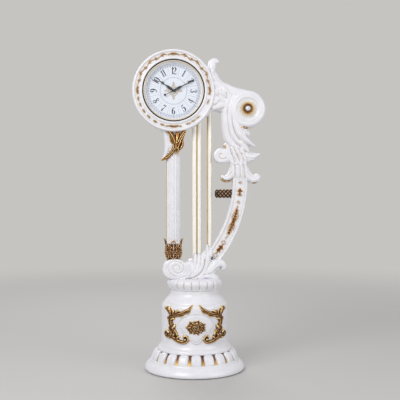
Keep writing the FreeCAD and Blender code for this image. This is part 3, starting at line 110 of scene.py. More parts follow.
points = [(0.0, 0.0, 0.0)]
faces = []
for ring in range(1, floor_rings + 1):
    reach = floor_radius * (ring / floor_rings) ** 1.6
    for side in range(floor_sides):
        turn = 2 * math.pi * side / floor_sides
        points.append((reach * math.cos(turn), reach * math.sin(turn), 0.0))
for side in range(floor_sides):
    following = (side + 1) % floor_sides
    faces.append((0, 1 + side, 1 + following))
    for ring in range(floor_rings - 1):
        low = 1 + ring * floor_sides
        high = low + floor_sides
        faces.append((low + side, high + side, high + following, low + following))
floor_mesh = bpy.data.meshes.new("floor")
floor_mesh.from_pydata(points, [], faces)
floor = bpy.data.objects.new("floor", floor_mesh)
bpy.context.scene.collection.objects.link(floor)

# Near the clock the floor takes light and shadow, and far off it glows as the backdrop does.
shadow_reach, glow_reach = 1.2, 6.5
material, tree, shader = new_material("seamless paper floor")
put(tree, shader, {"Base Color": colour(backdrop_grey), "Roughness": 0.75})
place = add(tree, "ShaderNodeTexCoord", {})
distance = add(tree, "ShaderNodeVectorMath", {0: place.outputs["Object"]}, operation="LENGTH")
fade = ranged(tree, distance.outputs["Value"], shadow_reach, glow_reach, interpolation_type="SMOOTHSTEP")
glow = add(tree, "ShaderNodeEmission", {"Color": colour(backdrop_grey)})
mix = add(tree, "ShaderNodeMixShader", {0: fade, 1: shader, 2: glow})
put(tree, tree.nodes["Material Output"], {"Surface": mix})
floor_mesh.materials.append(material)

# The world lights the clock evenly, and the camera, gloss and glass see the backdrop's grey.
world = bpy.data.worlds.new("studio")
world.use_nodes = True
bpy.context.scene.world = world
tree = world.node_tree
tree.nodes.clear()
ray = add(tree, "ShaderNodeLightPath", {}).outputs
sees = calc(tree, "MAXIMUM", ray["Is Camera Ray"], ray["Is Glossy Ray"])
sees = calc(tree, "MAXIMUM", sees, ray["Is Transmission Ray"])
fill_light = add(tree, "ShaderNodeBackground", {"Color": colour("#f4f6fb"), "Strength": 0.54})
seen_grey = add(tree, "ShaderNodeBackground", {"Color": colour(backdrop_grey), "Strength": 1.0})
mix = add(tree, "ShaderNodeMixShader", {0: sees, 1: fill_light, 2: seen_grey})
add(tree, "ShaderNodeOutputWorld", {"Surface": mix})

lamp_target = (0.0, 0.0, 0.95)
lamps = (
    ("main_lamp", (-2.3, -3.1, 3.3), 2.4, 106),
    ("side_lamp", (3, -2.4, 1.7), 2.2, 34),
    ("back_lamp", (-0.6, 3.2, 3), 2.4, 40),
)
for name, place, size, power in lamps:
    lamp_data = bpy.data.lights.new(name, "AREA")
    lamp_data.shape = "SQUARE"
    lamp_data.size = size
    lamp_data.energy = power
    lamp = bpy.data.objects.new(name, lamp_data)
    lamp.location = place
    direction = [t - p for t, p in zip(lamp_target, place)]
    level = math.hypot(direction[0], direction[1])
    lamp.rotation_euler = (math.atan2(level, -direction[2]), 0.0, math.atan2(-direction[0], direction[1]))
    bpy.context.scene.collection.objects.link(lamp)


# Hidden parts of the base
# A wool felt disc glued under a fibreboard bottom board, a cast iron weight inside the tray, and the
# zinc plated rod with its nut and washer that clamps the castings together. Little of it is seen.
def noise(tree, grain_mm, detail, along=1.0, **more):
    """Noise with a grain of so many millimetres, drawn out upwards where along is less than one."""
    place = add(tree, "ShaderNodeTexCoord", {}).outputs["Object"]
    drawn = add(tree, "ShaderNodeMapping", {"Vector": place, "Scale": (1.0, 1.0, along)})
    inputs = {"Vector": drawn, "Scale": 1000.0 / grain_mm, "Detail": detail, **more}
    return add(tree, "ShaderNodeTexNoise", inputs)


def ramp(tree, value, *places):
    """The colour for a value, from pairs of a place and a hex colour."""
    node = add(tree, "ShaderNodeValToRGB", {"Fac": value})
    elements = node.color_ramp.elements
    while len(elements) < len(places):
        elements.new(0.5)
    for element, (place, code) in zip(elements, places):
        element.position = place
        element.color = colour(code)
    return node


def dents(tree, height, strength, distance):
    """A bumpy skin from a height, so many metres deep."""
    return add(tree, "ShaderNodeBump", {"Height": height, "Strength": strength, "Distance": distance})


def plain_finish(node_names, label, base, second, roughness, metallic=0.0, grain_mm=4.0, bump=0.2):
    """A finish of two mixed tones with a fine grain, given to CAD nodes that are mostly hidden."""
    material, tree, shader = new_material(label)
    grain = noise(tree, grain_mm, detail=3.0)
    tone = ramp(tree, grain, (0.35, base), (0.65, second))
    skin = dents(tree, grain, bump, grain_mm / 10000.0)
    put(tree, shader, {"Base Color": tone, "Normal": skin, "Roughness": roughness, "Metallic": metallic})
    for name in node_names.split():
        data = nodes[name].data
        data.materials.clear()
        data.materials.append(material)
    return material


# Pressed wool felt: fibres a few millimetres long, no shine at all.
plain_finish("base_felt", "pressed green felt", "#2f4a35", "#41604a", 0.95, grain_mm=3.0, bump=0.6)
# Medium density fibreboard: fine brown fibres under a thin sealer.
plain_finish("bottom_board", "sealed fibreboard", "#8f7352", "#a98a64", 0.7, grain_mm=2.0)
# Sand cast iron: a coarse dark skin.
plain_finish(
    "ballast_disc", "sand cast iron", "#2c2b2b", "#413f3e", 0.75, metallic=0.6, grain_mm=5.0, bump=0.5,
)
# Zinc plate: pale, slightly blue and satin.
plain_finish(
    "tie_nut_and_washer threaded_rods door_hinge_pin",
    "bright zinc plate", "#b9bcc0", "#d2d5d8", 0.32, metallic=1.0, grain_mm=6.0, bump=0.1,
)
# Turned beech: straight pale grain.
plain_finish("frame_dowels", "turned beech", "#c69b6a", "#dcb88a", 0.6, grain_mm=3.0, bump=0.3)


# Round tray
# The wide foot of the clock, one casting in polyester resin: a slack, cushion-like ring that is
# flatter on top. It is primed, sprayed with white lacquer and rubbed with a thin tan glaze.
mm = 0.001


def mesh_piece(name, points, faces, material):
    """A smooth piece from points in millimetres, with its object at the origin."""
    data = bpy.data.meshes.new(name)
    data.from_pydata((np.array(points) * mm).tolist(), [], faces)
    shell = bmesh.new()
    shell.from_mesh(data)
    bmesh.ops.recalc_face_normals(shell, faces=shell.faces)
    shell.to_mesh(data)
    shell.free()
    data.polygons.foreach_set("use_smooth", [True] * len(data.polygons))
    data.materials.append(material)
    data.update()
    piece = bpy.data.objects.new(name, data)
    bpy.context.scene.collection.objects.link(piece)
    return piece


def rings_to_faces(count, around, closed=False):
    """The faces between rings of points that follow one another."""
    faces = []
    for ring in range(count if closed else count - 1):
        low = ring * around
        high = (ring + 1) % count * around
        for side in range(around):
            following = (side + 1) % around
            faces.append((low + side, low + following, high + following, high + side))
    return faces


def curve(rows, steps):
    """A smooth line through rows of numbers, with so many steps to a stretch."""
    rows = np.array(rows, float)
    rows = np.vstack([2 * rows[0] - rows[1], rows, 2 * rows[-1] - rows[-2]])
    made = []
    for a, b, c, d in zip(rows, rows[1:], rows[2:], rows[3:]):
        for t in np.arange(steps) / steps:
            bend = 2 * a - 5 * b + 4 * c - d
            twist = 3 * b - a - 3 * c + d
            made.append(0.5 * (2 * b + (c - a) * t + bend * t**2 + twist * t**3))
    made.append(rows[-2])
    return np.array(made)


def profile(*strokes):
    """A closed outline from strokes of points, in steps of about 3 mm; a stroke of two is straight."""
    made = []
    for stroke in strokes:
        line = curve(stroke, 12) if len(stroke) > 2 else np.array(stroke, float)
        run = np.concatenate([[0.0], np.cumsum(np.linalg.norm(np.diff(line, axis=0), axis=1))])
        count = max(int(run[-1] / 3.0), 1) + 1
        even = np.linspace(0.0, run[-1], count)
        line = np.stack([np.interp(even, run, line[:, i]) for i in (0, 1)], 1)
        made.extend(line if not made else line[1:])
    return np.array(made[:-1])


def angles(count):
    """So many angles evenly round a circle."""
    return 2 * np.pi * np.arange(count) / count


def level_ring(reach, z, turn, x=0.0):
    """A ring of points at one height. Its reach is one number, or one for every point."""
    return np.stack([x + reach * np.cos(turn), reach * np.sin(turn), np.full(len(turn), z)], 1)


def tube(rings):
    """Points and faces of a skin over rings, whose last ring joins its first."""
    return np.concatenate(rings), rings_to_faces(len(rings), len(rings[0]), closed=True)


def turned(outline, around=220, x=0.0):
    """Points and faces of a closed outline of radius and height, turned about an upright axis at x."""
    return tube([level_ring(radius, z, angles(around), x) for radius, z in outline])


def evened(mesh, place, rounds, share=1.0):
    """Draws every point a share of the way to the middle of its neighbours, so many times."""
    count = len(place)
    ends = np.empty(len(mesh.edges) * 2, np.int32)
    mesh.edges.foreach_get("vertices", ends)
    first, second = ends.reshape(-1, 2).T
    near = np.bincount(ends, minlength=count)
    for _ in range(rounds):
        total = np.zeros_like(place)
        for axis in range(3):
            total[:, axis] = np.bincount(first, place[second, axis], count)
            total[:, axis] += np.bincount(second, place[first, axis], count)
        place = (1.0 - share) * place + share * total / near[:, None]
    return place


def read_points(mesh, what="co"):
    """The places or the normals of a mesh's points."""
    numbers = np.empty(len(mesh.vertices) * 3)
    mesh.vertices.foreach_get(what, numbers)
    return numbers.reshape(-1, 3)


def set_relief(piece, rounds=8):
    """Stores how far each point stands proud of the surface round it, in millimetres."""
    mesh = piece.data
    place = read_points(mesh)
    proud = ((place - evened(mesh, place, rounds)) * read_points(mesh, "normal")).sum(1) / mm
    attribute = mesh.attributes.new("relief", "FLOAT", "POINT")
    attribute.data.foreach_set("value", proud.astype(np.float32))


def relief_of(tree):
    """Reads the stored relief in a material."""
    return add(tree, "ShaderNodeAttribute", {}, attribute_name="relief").outputs["Fac"]


def white_lacquer(name, glaze_from, glaze_to, strength):
    """Sprayed white lacquer whose hollows hold a tan glaze between two depths in millimetres."""
    material, tree, shader = new_material(name)
    cloud = noise(tree, grain_mm=45.0, detail=4.0)
    white = ramp(tree, cloud, (0.3, "#e6e6eb"), (0.7, "#efeef2"))
    hollow = ranged(tree, relief_of(tree), -glaze_from, -glaze_to, interpolation_type="SMOOTHSTEP")
    wiped = noise(tree, grain_mm=14.0, detail=3.0)
    left = ranged(tree, wiped, 0.35, 0.6, 0.35 * strength, strength)
    amount = calc(tree, "MULTIPLY", hollow, left)
    mixed = {"Factor": amount, "A": white, "B": colour("#c8b392")}
    glazed = add(tree, "ShaderNodeMix", mixed, data_type="RGBA").outputs["Result"]
    # The spray leaves a slight orange peel a few millimetres across.
    peel = dents(tree, noise(tree, grain_mm=6.0, detail=2.0), 0.25, 0.0003)
    sheen = ranged(tree, cloud, 0.3, 0.7, 0.3, 0.4)
    put(tree, shader, {"Base Color": glazed, "Normal": peel, "Roughness": sheen})
    put(tree, shader, {"Coat Weight": 0.3, "Coat Roughness": 0.15})
    return material


# Acrylic lacquer on smooth castings: a cool white with a soft shine and almost no glaze left on it.
smooth_lacquer = white_lacquer("sprayed white lacquer", 0.12, 1.0, 0.55)

tray_points, tray_faces = turned(
    profile(
        [(232, 14), (248.3, 14)],
        [(248.3, 14), (248.3, 2)],
        [(248.3, 2), (266, 2)],
        [
            (266, 2), (274, 2.8), (279.6, 6), (281.8, 12), (279.5, 22), (273.5, 33),
            (264, 44), (254, 52.5), (251.5, 54.5),
        ],
        [(251.5, 54.5), (250.2, 56.5)],
        [(250.2, 56.5), (249.6, 60), (246.5, 62.5), (241, 63)],
        [(241, 63), (190, 63)],
        [(190, 63), (190, 54)],
        [(190, 54), (232, 54)],
        [(232, 54), (232, 14)],
    )
)
tray = mesh_piece("round_tray", tray_points, tray_faces, smooth_lacquer)
set_relief(tray)
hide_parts("base_tray")
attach(tray, "clock_body")


# Bead band
# A conical ring cast with twenty pillow-shaped beads. The beads are lacquered white, and the grooves
# between them are brushed with bole and gold, dark at the top with painted shade under the plinth's
# ring and brighter at the bottom.
groove_material, tree, shader = new_material("gilded groove with painted shade at the top")
place = add(tree, "ShaderNodeTexCoord", {})
height = add(tree, "ShaderNodeSeparateXYZ", {0: place.outputs["Object"]})
painted_shade_height, unshaded_height = 0.108, 0.062
# The groove darkens towards its top: painted shade under the plinth's half-round ring.
rise = ranged(tree, height.outputs["Z"], unshaded_height, painted_shade_height, 0.72, -0.1)
brushed = noise(tree, grain_mm=7.0, detail=5.0, Roughness=0.65)
tone_value = calc(tree, "MULTIPLY", calc(tree, "MULTIPLY_ADD", brushed, 0.75, rise), 0.62)
groove_tones = ((0.12, "#4a2512"), (0.34, "#774a20"), (0.52, "#b8904f"), (0.7, "#dfc793"), (0.9, "#f2e6ca"))
tone = ramp(tree, tone_value, *groove_tones)
put(tree, shader, {"Base Color": tone, "Metallic": 0.45, "Roughness": 0.42})

band_points, band_faces = turned(
    profile(
        [(190, 61), (239, 61)],
        [(239, 61), (237.5, 64)],
        [(237.5, 64), (233.5, 70), (226.5, 83), (216, 99), (205, 114)],
        [(205, 114), (203, 118)],
        [(203, 118), (190, 118)],
        [(190, 118), (190, 61)],
    )
)
band = mesh_piece("bead_band_core", band_points, band_faces, groove_material)
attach(band, "clock_body")


def node_tree(name, sizes):
    """A geometry tree with the named sizes as its inputs, and the sockets that read them."""
    tree = bpy.data.node_groups.new(name, "GeometryNodeTree")
    tree.interface.new_socket("Geometry", in_out="INPUT", socket_type="NodeSocketGeometry")
    for label, value in sizes.items():
        kind = "NodeSocketInt" if isinstance(value, int) else "NodeSocketFloat"
        tree.interface.new_socket(label, in_out="INPUT", socket_type=kind)
    tree.interface.new_socket("Geometry", in_out="OUTPUT", socket_type="NodeSocketGeometry")
    return tree, add(tree, "NodeGroupInput", {}).outputs


def vector(tree, x=0.0, y=0.0, z=0.0):
    """A vector from numbers, sockets or nodes."""
    return add(tree, "ShaderNodeCombineXYZ", {"X": x, "Y": y, "Z": z})


def ringed(tree, ring, piece):
    """Sets a piece on every point of a ring round the origin, with its X side turned outwards."""
    where = add(tree, "GeometryNodeInputPosition", {})
    facing = add(tree, "FunctionNodeAlignRotationToVector", {"Vector": where}, axis="X")
    return add(
        tree, "GeometryNodeInstanceOnPoints", {"Points": ring, "Instance": piece, "Rotation": facing},
    )


def grown(name, tree, sizes, geometry, material):
    """Runs a geometry tree once with its sizes, and keeps the result as a plain mesh."""
    real = add(tree, "GeometryNodeRealizeInstances", {"Geometry": geometry})
    shade = add(tree, "GeometryNodeSetShadeSmooth", {"Geometry": real, "Shade Smooth": True})
    paint = add(tree, "GeometryNodeSetMaterial", {"Geometry": shade, "Material": material})
    add(tree, "NodeGroupOutput", {"Geometry": paint})
    seed = bpy.data.objects.new(name + ".seed", bpy.data.meshes.new(name + ".seed"))
    bpy.context.scene.collection.objects.link(seed)
    modifier = seed.modifiers.new("nodes", "NODES")
    modifier.node_group = tree
    for item in tree.interface.items_tree:
        if item.in_out == "INPUT" and item.name in sizes:
            modifier[item.identifier] = sizes[item.name]
    view = bpy.context.evaluated_depsgraph_get()
    data = bpy.data.meshes.new_from_object(seed.evaluated_get(view))
    seed.modifiers.clear()
    bpy.data.objects.remove(seed)
    piece = bpy.data.objects.new(name, data)
    bpy.context.scene.collection.objects.link(piece)
    return piece


# Every bead is a subdivided block, which melts into a pillow, set on a ring and leaned back with it.
bead_sizes = {
    "Count": 20,
    "Ring Radius": 0.2110,
    "Bead Width": 0.0560,
    "Bead Height": 0.0700,
    "Bead Depth": 0.0560,
    "Middle Height": 0.0800,
    "Lean": math.radians(-22.0),
    "Top Roundness": -8.0,
}
tree, sizes_in = node_tree("bead_row", bead_sizes)
ring = add(
    tree, "GeometryNodeMeshCircle", {"Vertices": sizes_in["Count"], "Radius": sizes_in["Ring Radius"]},
)
size = vector(tree, sizes_in["Bead Depth"], sizes_in["Bead Width"], sizes_in["Bead Height"])
block = add(tree, "GeometryNodeMeshCube", {
    "Size": size, "Vertices X": 2, "Vertices Y": 2, "Vertices Z": 2,
})
pillow = add(tree, "GeometryNodeSubdivisionSurface", {"Mesh": block, "Level": 4, "Edge Crease": 0.34})
# The upper half of a bead is rounded back under the ring.
spot = add(tree, "ShaderNodeSeparateXYZ", {0: add(tree, "GeometryNodeInputPosition", {})})
above = calc(tree, "MAXIMUM", spot.outputs["Z"], 0.0)
back = calc(tree, "MULTIPLY", calc(tree, "POWER", above, 2.0), sizes_in["Top Roundness"])
rounded = add(tree, "GeometryNodeSetPosition", {"Geometry": pillow, "Offset": vector(tree, back)})
lean = vector(tree, y=sizes_in["Lean"])
leaned = add(tree, "GeometryNodeTransform", {"Geometry": rounded, "Rotation": lean})
lift = vector(tree, z=sizes_in["Middle Height"])
spin = vector(tree, z=math.radians(90.0))
beads = {"Geometry": ringed(tree, ring, leaned), "Translation": lift, "Rotation": spin}
lifted = add(tree, "GeometryNodeTransform", beads)
bead_row = grown("white_beads", tree, bead_sizes, lifted, smooth_lacquer)
set_relief(bead_row)
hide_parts("bead_moulding")
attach(bead_row, "clock_body")


# Plinth
# One resin casting over the beads: a half-round ring, a sweep, the round body and a hollow shoulder
# that draws in to a neck. A fan-shaped panel with a bevelled double border is cast on its front.
plinth_radius = 187.0

plinth_points, plinth_faces = turned(
    profile(
        [(173, 112), (202, 112)],
        [(202, 112), (207, 113.3), (209, 118), (207.5, 126), (203, 133), (197.5, 137.5)],
        [(197.5, 137.5), (196, 138.5)],
        [(196, 138.5), (195, 141.5), (192, 147), (189.3, 155), (187.6, 165), (187, 180)],
        [(187, 180), (187, 344)],
        [(187, 344), (186.8, 354), (185.2, 363), (181.5, 371), (176.5, 377)],
        [(176.5, 377), (173.5, 379)],
        [
            (173.5, 379), (169.5, 387), (160.5, 398), (149.5, 409), (140.5, 420), (135.5, 432),
            (135.5, 445),
        ],
        [(135.5, 445), (136, 450)],
        [(136, 450), (90, 450)],
        [(90, 450), (90, 420)],
        [(90, 420), (173, 360)],
        [(173, 360), (173, 112)],
    )
)
plinth = mesh_piece("plinth_casting", plinth_points, plinth_faces, smooth_lacquer)
set_relief(plinth)
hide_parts("plinth_foot", "plinth_cap")
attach(plinth, "clock_body")


def capped(rings):
    """Points and faces of a bar through rings, with both of its ends closed."""
    around = len(rings[0])
    faces = rings_to_faces(len(rings), around)
    faces.append(tuple(range(around))[::-1])
    faces.append(tuple(range((len(rings) - 1) * around, len(rings) * around)))
    return np.concatenate(rings), faces


def round_body(points, radius):
    """Lays a flat front view on a round body: x stays as it is seen, and -y becomes height off it."""
    turn = np.arcsin(np.clip(points[:, 0] / radius, -0.995, 0.995))
    reach = radius - points[:, 1]
    return np.stack([reach * np.sin(turn), -reach * np.cos(turn), points[:, 2]], 1)


# The border of the fan, from its lower point up the right side, and mirrored down the left.
fan_middle = np.array((0.0, 262.0))
fan_half = [
    (0, 171.5), (9, 174.5), (20, 183), (52, 214), (84, 243), (102, 260), (108, 270),
    (104, 281), (94, 296), (74, 314), (50, 327), (26, 334.5), (0, 337),
]
fan_edge = curve(fan_half + [(-x, z) for x, z in fan_half[-2:0:-1]] + fan_half[:1], 5)[:-1] * (0.97, 1.0)
# Each step of the border is a share of the way in to the middle, and how far it stands proud.
fan_steps = [
    (1.012, -4), (1.012, 3.5), (1, 6), (0.98, 7.2), (0.955, 6.8), (0.94, 4.2), (0.925, 3.8), (0.905, 5.6),
    (0.875, 8), (0.85, 8.8), (0.7, 9.2), (0.45, 9.5), (0.2, 9.6), (0.02, 9.6),
]
fan_rings = []
for share, proud in fan_steps:
    ring = fan_middle + (fan_edge - fan_middle) * share
    fan_rings.append(np.stack([ring[:, 0], np.full(len(ring), -proud), ring[:, 1]], 1))
fan_points, fan_faces = capped(fan_rings)
fan = mesh_piece("fan_panel", round_body(fan_points, plinth_radius), fan_faces, smooth_lacquer)
set_relief(fan, rounds=4)
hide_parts("plinth_body")
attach(fan, "clock_body")


# Leaf scrolls and oval flower of the plinth
# Gilt composition ornaments pressed in a mould and glued on. They are painted with brown bole and
# gold bronze, and the gold is rubbed back to brown in the hollows and polished bright on the ridges;
# painted shade deepens the hollows and a painted highlight brightens the ridges.
def limb(rows, power=2.0, around=14, steps=5):
    """A smooth tapering bar through rows of x, z, half width, half depth and its middle's y if not 0."""
    rows = [tuple(row) + (0.0,) * (5 - len(row)) for row in rows]
    line = curve(rows, steps)
    run = np.gradient(line[:, :2], axis=0)
    run /= np.maximum(np.linalg.norm(run, axis=1), 1e-6)[:, None]
    turn = angles(around)
    wide = np.sign(np.cos(turn)) * np.abs(np.cos(turn)) ** (2 / power)
    deep = np.sign(np.sin(turn)) * np.abs(np.sin(turn)) ** (2 / power)
    rings = []
    # Both ends are rounded off by three more rings.
    last = len(line) - 1
    ring_list = [(0, -1.0, cap) for cap in (84.0, 60.0, 30.0)]
    ring_list += [(i, 0.0, 0.0) for i in range(len(line))]
    ring_list += [(last, 1.0, cap) for cap in (30.0, 60.0, 84.0)]
    for i, way, cap in ring_list:
        x, z, width, depth, y = line[i]
        along = way * width * math.sin(math.radians(cap))
        shrink = math.cos(math.radians(cap))
        out = wide * width * shrink
        middle_x = x + run[i, 0] * along
        middle_z = z + run[i, 1] * along
        ring = [middle_x - run[i, 1] * out, y + deep * depth * shrink, middle_z + run[i, 0] * out]
        rings.append(np.stack(ring, 1))
    return capped(rings)


def joined(parts):
    """Several parts as one list of points and one of faces."""
    faces = []
    start = 0
    for part_points, part_faces in parts:
        faces.extend(tuple(start + corner for corner in face) for face in part_faces)
        start += len(part_points)
    return np.concatenate([part[0] for part in parts]), faces


def cast(name, parts, grain, material, shape=None, soften=2, rounds=8, carving=()):
    """Melts overlapping parts into one skin of a given grain in millimetres, like a casting."""
    piece = mesh_piece(name, *joined(parts), material)
    melt = piece.modifiers.new("melt", "REMESH")
    melt.mode = "VOXEL"
    melt.voxel_size = grain * mm
    melt.use_smooth_shade = True
    view = bpy.context.evaluated_depsgraph_get()
    data = bpy.data.meshes.new_from_object(piece.evaluated_get(view))
    piece.modifiers.clear()
    old = piece.data
    piece.data = data
    bpy.data.meshes.remove(old)
    place = evened(data, read_points(data) / mm, soften, 0.6)
    for line, width, depth in carving:
        press(place, line, width, depth)
    if shape:
        place = shape(place)
    data.vertices.foreach_set("co", (place * mm).ravel())
    data.polygons.foreach_set("use_smooth", [True] * len(data.polygons))
    data.update()
    if not data.materials:
        data.materials.append(material)
    set_relief(piece, rounds)
    return piece


def press(place, line, width, depth):
    """Presses a groove into the front and the back along a smooth line of x, z points."""
    line = curve(line, 6)
    starts, stretches = line[:-1], np.diff(line, axis=0)
    squared = np.maximum((stretches**2).sum(1), 1e-9)
    low = line.min(0) - width
    high = line.max(0) + width
    flat = place[:, (0, 2)]
    close = np.where(((flat > low) & (flat < high)).all(1))[0]
    offset = flat[close][:, None, :] - starts[None]
    share = np.clip((offset * stretches).sum(2) / squared, 0, 1)
    gap = np.linalg.norm(offset - share[..., None] * stretches, axis=2).min(1)
    push = depth * np.clip(1 - (gap / width) ** 2, 0, 1) ** 2
    place[close, 1] -= np.sign(place[close, 1]) * push


def gilding(name, darkest, brown, gold, bright, dark_to, bright_from):
    """Rubbed bronze gilding: bole and painted shade in hollows, gold on faces, polish and painted highlight
    on ridges.
    """
    material, tree, shader = new_material(name)
    rub = noise(tree, grain_mm=5.0, detail=5.0, Roughness=0.6)
    # The stored relief darkens the hollows as painted shade and lightens the ridges as a painted highlight;
    # the noise stands for real rubbing.
    relief_mix = calc(tree, "ADD", relief_of(tree), ranged(tree, rub, 0.3, 0.7, -0.4, 0.4))
    level = ranged(tree, relief_mix, dark_to, bright_from)
    tone = ramp(tree, level, (0.0, darkest), (0.3, brown), (0.62, gold), (0.95, bright))
    sheen = ranged(tree, level, 0.0, 1.0, 0.6, 0.28)
    skin = dents(tree, rub, 0.35, 0.0004)
    put(tree, shader, {"Base Color": tone, "Roughness": sheen, "Normal": skin, "Metallic": 0.55})
    return material


# Bronze gilding over bole: brown hollows partly painted shade, honey gold faces, pale ridges partly painted
# highlight.
shaded_antique_gilding = gilding(
    "rubbed bronze gilding over bole", "#32170a", "#6e4119", "#b3823f", "#efdaa8", -0.15, 1.45
)

scroll_parts = [
    # Stem, from the forked top down to the curl at the bottom
    limb([
        (-131, 330, 9, 10), (-136, 305, 11.5, 11), (-135, 280, 13, 11), (-127, 258, 13, 11),
        (-124, 236, 11.5, 10),
    ]),
    limb([(-128, 262, 9, 11), (-116, 240, 10.5, 11), (-104, 222, 9, 10), (-101, 206, 5, 7.5)]),
    # Horn to the upper left, with its flared tip
    limb([
        (-132, 326, 10.5, 11), (-140, 342, 13, 12.5), (-150, 352, 11.5, 11), (-158, 359, 9.5, 9),
        (-163, 355, 6, 6),
    ]),
    limb([(-138, 342, 8, 11), (-142, 356, 8.5, 11), (-139, 368, 5, 7.5)]),
    # Long branch to the upper right
    limb([
        (-132, 318, 11.5, 11), (-112, 326, 13, 12.5), (-90, 331, 11.5, 12.5), (-68, 340, 11.5, 11),
        (-46, 353, 10.5, 10), (-27, 368, 8, 7.5), (-18, 381, 4, 5),
    ]),
    limb([(-112, 326, 8, 10), (-104, 342, 9, 11), (-93, 350, 6.5, 9)]),
    limb([(-88, 330, 8, 10), (-78, 320, 8, 10), (-70, 322, 5, 7.5)]),
    limb([(-60, 343, 8, 10), (-44, 341, 8, 9), (-33, 348, 5, 6)]),
    limb([(-122, 322, 9, 10), (-118, 338, 9, 11), (-122, 352, 5, 7.5)]),
    # Lower left curl
    limb([
        (-126, 218, 11.5, 11), (-138, 205, 11, 12.5), (-150, 203, 11, 12), (-159, 212, 10.5, 10),
        (-160, 226, 9, 9), (-151, 232, 6.5, 9), (-146, 224, 5, 9),
    ]),
    limb([(-130, 234, 9, 10), (-139, 244, 8, 10), (-146, 253, 5, 7.5)]),
    # Bottom stem with its round curl
    limb([
        (-138, 214, 10.5, 11), (-122, 202, 12.5, 12.5), (-104, 190, 12, 12.5), (-84, 182, 11, 12.5),
        (-64, 181, 11, 12.5), (-50, 189, 11, 11), (-45, 202, 10, 11), (-53, 213, 8.5, 10),
        (-65, 212, 7.5, 10), (-68, 202, 5, 9),
    ]),
    limb([(-57, 196, 8, 14), (-55, 193, 6.5, 12.5)]),
    limb([(-104, 190, 8, 10), (-98, 204, 8, 10), (-88, 210, 5, 6)]),
    limb([(-125, 205, 8, 11), (-117, 218, 9, 11), (-108, 228, 6.5, 9)]),
    # Buds between the stem and the curls
    limb([(-124, 250, 9, 12.5), (-117, 262, 9, 12.5), (-112, 272, 5, 7.5)]),
    limb([(-138, 292, 8, 11), (-146, 300, 7.5, 10), (-149, 309, 5, 6)]),
    limb([(-130, 300, 8, 11), (-121, 306, 8, 11), (-115, 302, 5, 7.5)]),
]


shoulder_heights = [344, 354, 363, 371, 377, 387, 398]
shoulder_radii = [187, 186.8, 185.2, 181.5, 176.5, 169.5, 160.5]


def on_shoulder(place):
    """Lays the scrolls on the body, and on its rounded shoulder higher up."""
    return round_body(place, np.interp(place[:, 2], shoulder_heights, shoulder_radii))


# Grooves that part each stroke into two ridges
scroll_cuts = [
    [(-134, 322), (-137, 300), (-135, 276), (-127, 254), (-122, 232), (-124, 214)],
    [(-128, 320), (-108, 327), (-88, 331), (-66, 341), (-44, 354), (-26, 370)],
    [(-136, 332), (-144, 346), (-155, 356)],
    [(-130, 206), (-112, 196), (-92, 185), (-70, 181), (-54, 188), (-47, 201), (-56, 211)],
    [(-136, 208), (-149, 204), (-160, 214), (-158, 228)],
    [(-118, 244), (-106, 226), (-101, 208)],
]
for side, hand_name in ((1, "left"), (-1, "right")):
    mirrored = [(points * (side, 1, 1), faces) for points, faces in scroll_parts]
    cuts = [([(side * x, z) for x, z in line], 4.2, 2.2) for line in scroll_cuts]
    scroll = cast(
        "plinth_scroll_" + hand_name, mirrored, 1.6, shaded_antique_gilding, on_shoulder, 1, 16, cuts
    )
    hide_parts("base_scroll_" + hand_name)
    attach(scroll, "clock_body")

# The flower has two rows of ruffled petals in an oval, and a coiled bud at its middle.
flower_middle = np.array((0.0, 263.0))
flower_half = np.array((52.0, 39.0))
flower_parts = [limb([(-17, 263, 31, 8), (17, 263, 31, 8)])]
for row, petals, reach, rise, broad in ((0, 14, 1.0, -6.0, 9.4), (1, 11, 0.68, -12.0, 8.6)):
    for petal in range(petals):
        turn = 2 * math.pi * (petal + 0.5 * row) / petals
        wave = 1.0 if petal % 2 else 0.88
        out = flower_half * reach * wave * (math.cos(turn), math.sin(turn))
        rows = []
        for share, width, depth, back in ((0.35, 0.7, 6, 2), (0.72, 1.0, 5, 0), (0.93, 0.85, 3.5, -1)):
            rows.append((*(flower_middle + share * out), broad * width, depth, rise + back))
        flower_parts.append(limb(rows, around=10, steps=4))
bud = []
for step in range(15):
    turn = step * 0.85
    reach = 3.0 + step * 1.05
    coil = (reach * 1.15 * math.cos(turn), reach * 0.85 * math.sin(turn))
    bud.append((*(flower_middle + coil), 3.0, 5, -15.0))
flower_parts.append(limb(bud, around=8, steps=3))


def on_body(place):
    """Lays the flower on the fan panel, which stands proud of the round body."""
    return round_body(place, plinth_radius + 4)


# Brown bole shows through this flower more than through the scrolls; its hollows are darkened
# partly by painted shade, and its ridges carry a painted highlight.
flower_gilding = gilding(
    "bronze gilding rubbed back to bole", "#2a1207", "#5f3517", "#ab7d40", "#f2dfb4", -0.25, 0.6
)
flower = cast("oval_flower", flower_parts, 1.3, flower_gilding, shape=on_body, rounds=5)
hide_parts("base_rosette")
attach(flower, "clock_body")


# Lobed ring
# A gadrooned casting under the harp: twenty-one rounded lobes with thin grooves between them, which
# keep a line of tan glaze.
lobe_count = 21
lobe_steps = 12
lobe_profile = profile(
    [(60, 450), (136, 450)],
    [(136, 450), (140.5, 452), (143, 456.5)],
    [(143, 456.5), (149.5, 468), (155, 481), (154.5, 494), (147, 504), (132, 510.5), (114, 512)],
    [(114, 512), (60, 512)],
    [(60, 512), (60, 450)],
)
turn = angles(lobe_count * lobe_steps) - np.pi / 2
lobe = np.abs(np.sin((turn + np.pi / 2) * lobe_count / 2 + np.pi / 2))
ring_list = []
for radius, z in lobe_profile:
    share = min(max((z - 453.0) / 9.0, 0.0), 1.0) * min(max((512.0 - z) / 10.0, 0.0), 1.0)
    share *= 1.0 if radius > 100 else 0.0
    hollow = 6.5 * share * (1 - np.sqrt(np.clip(1 - (1 - lobe) ** 2, 0, 1)))
    ring_list.append(level_ring(radius - hollow, z, turn))
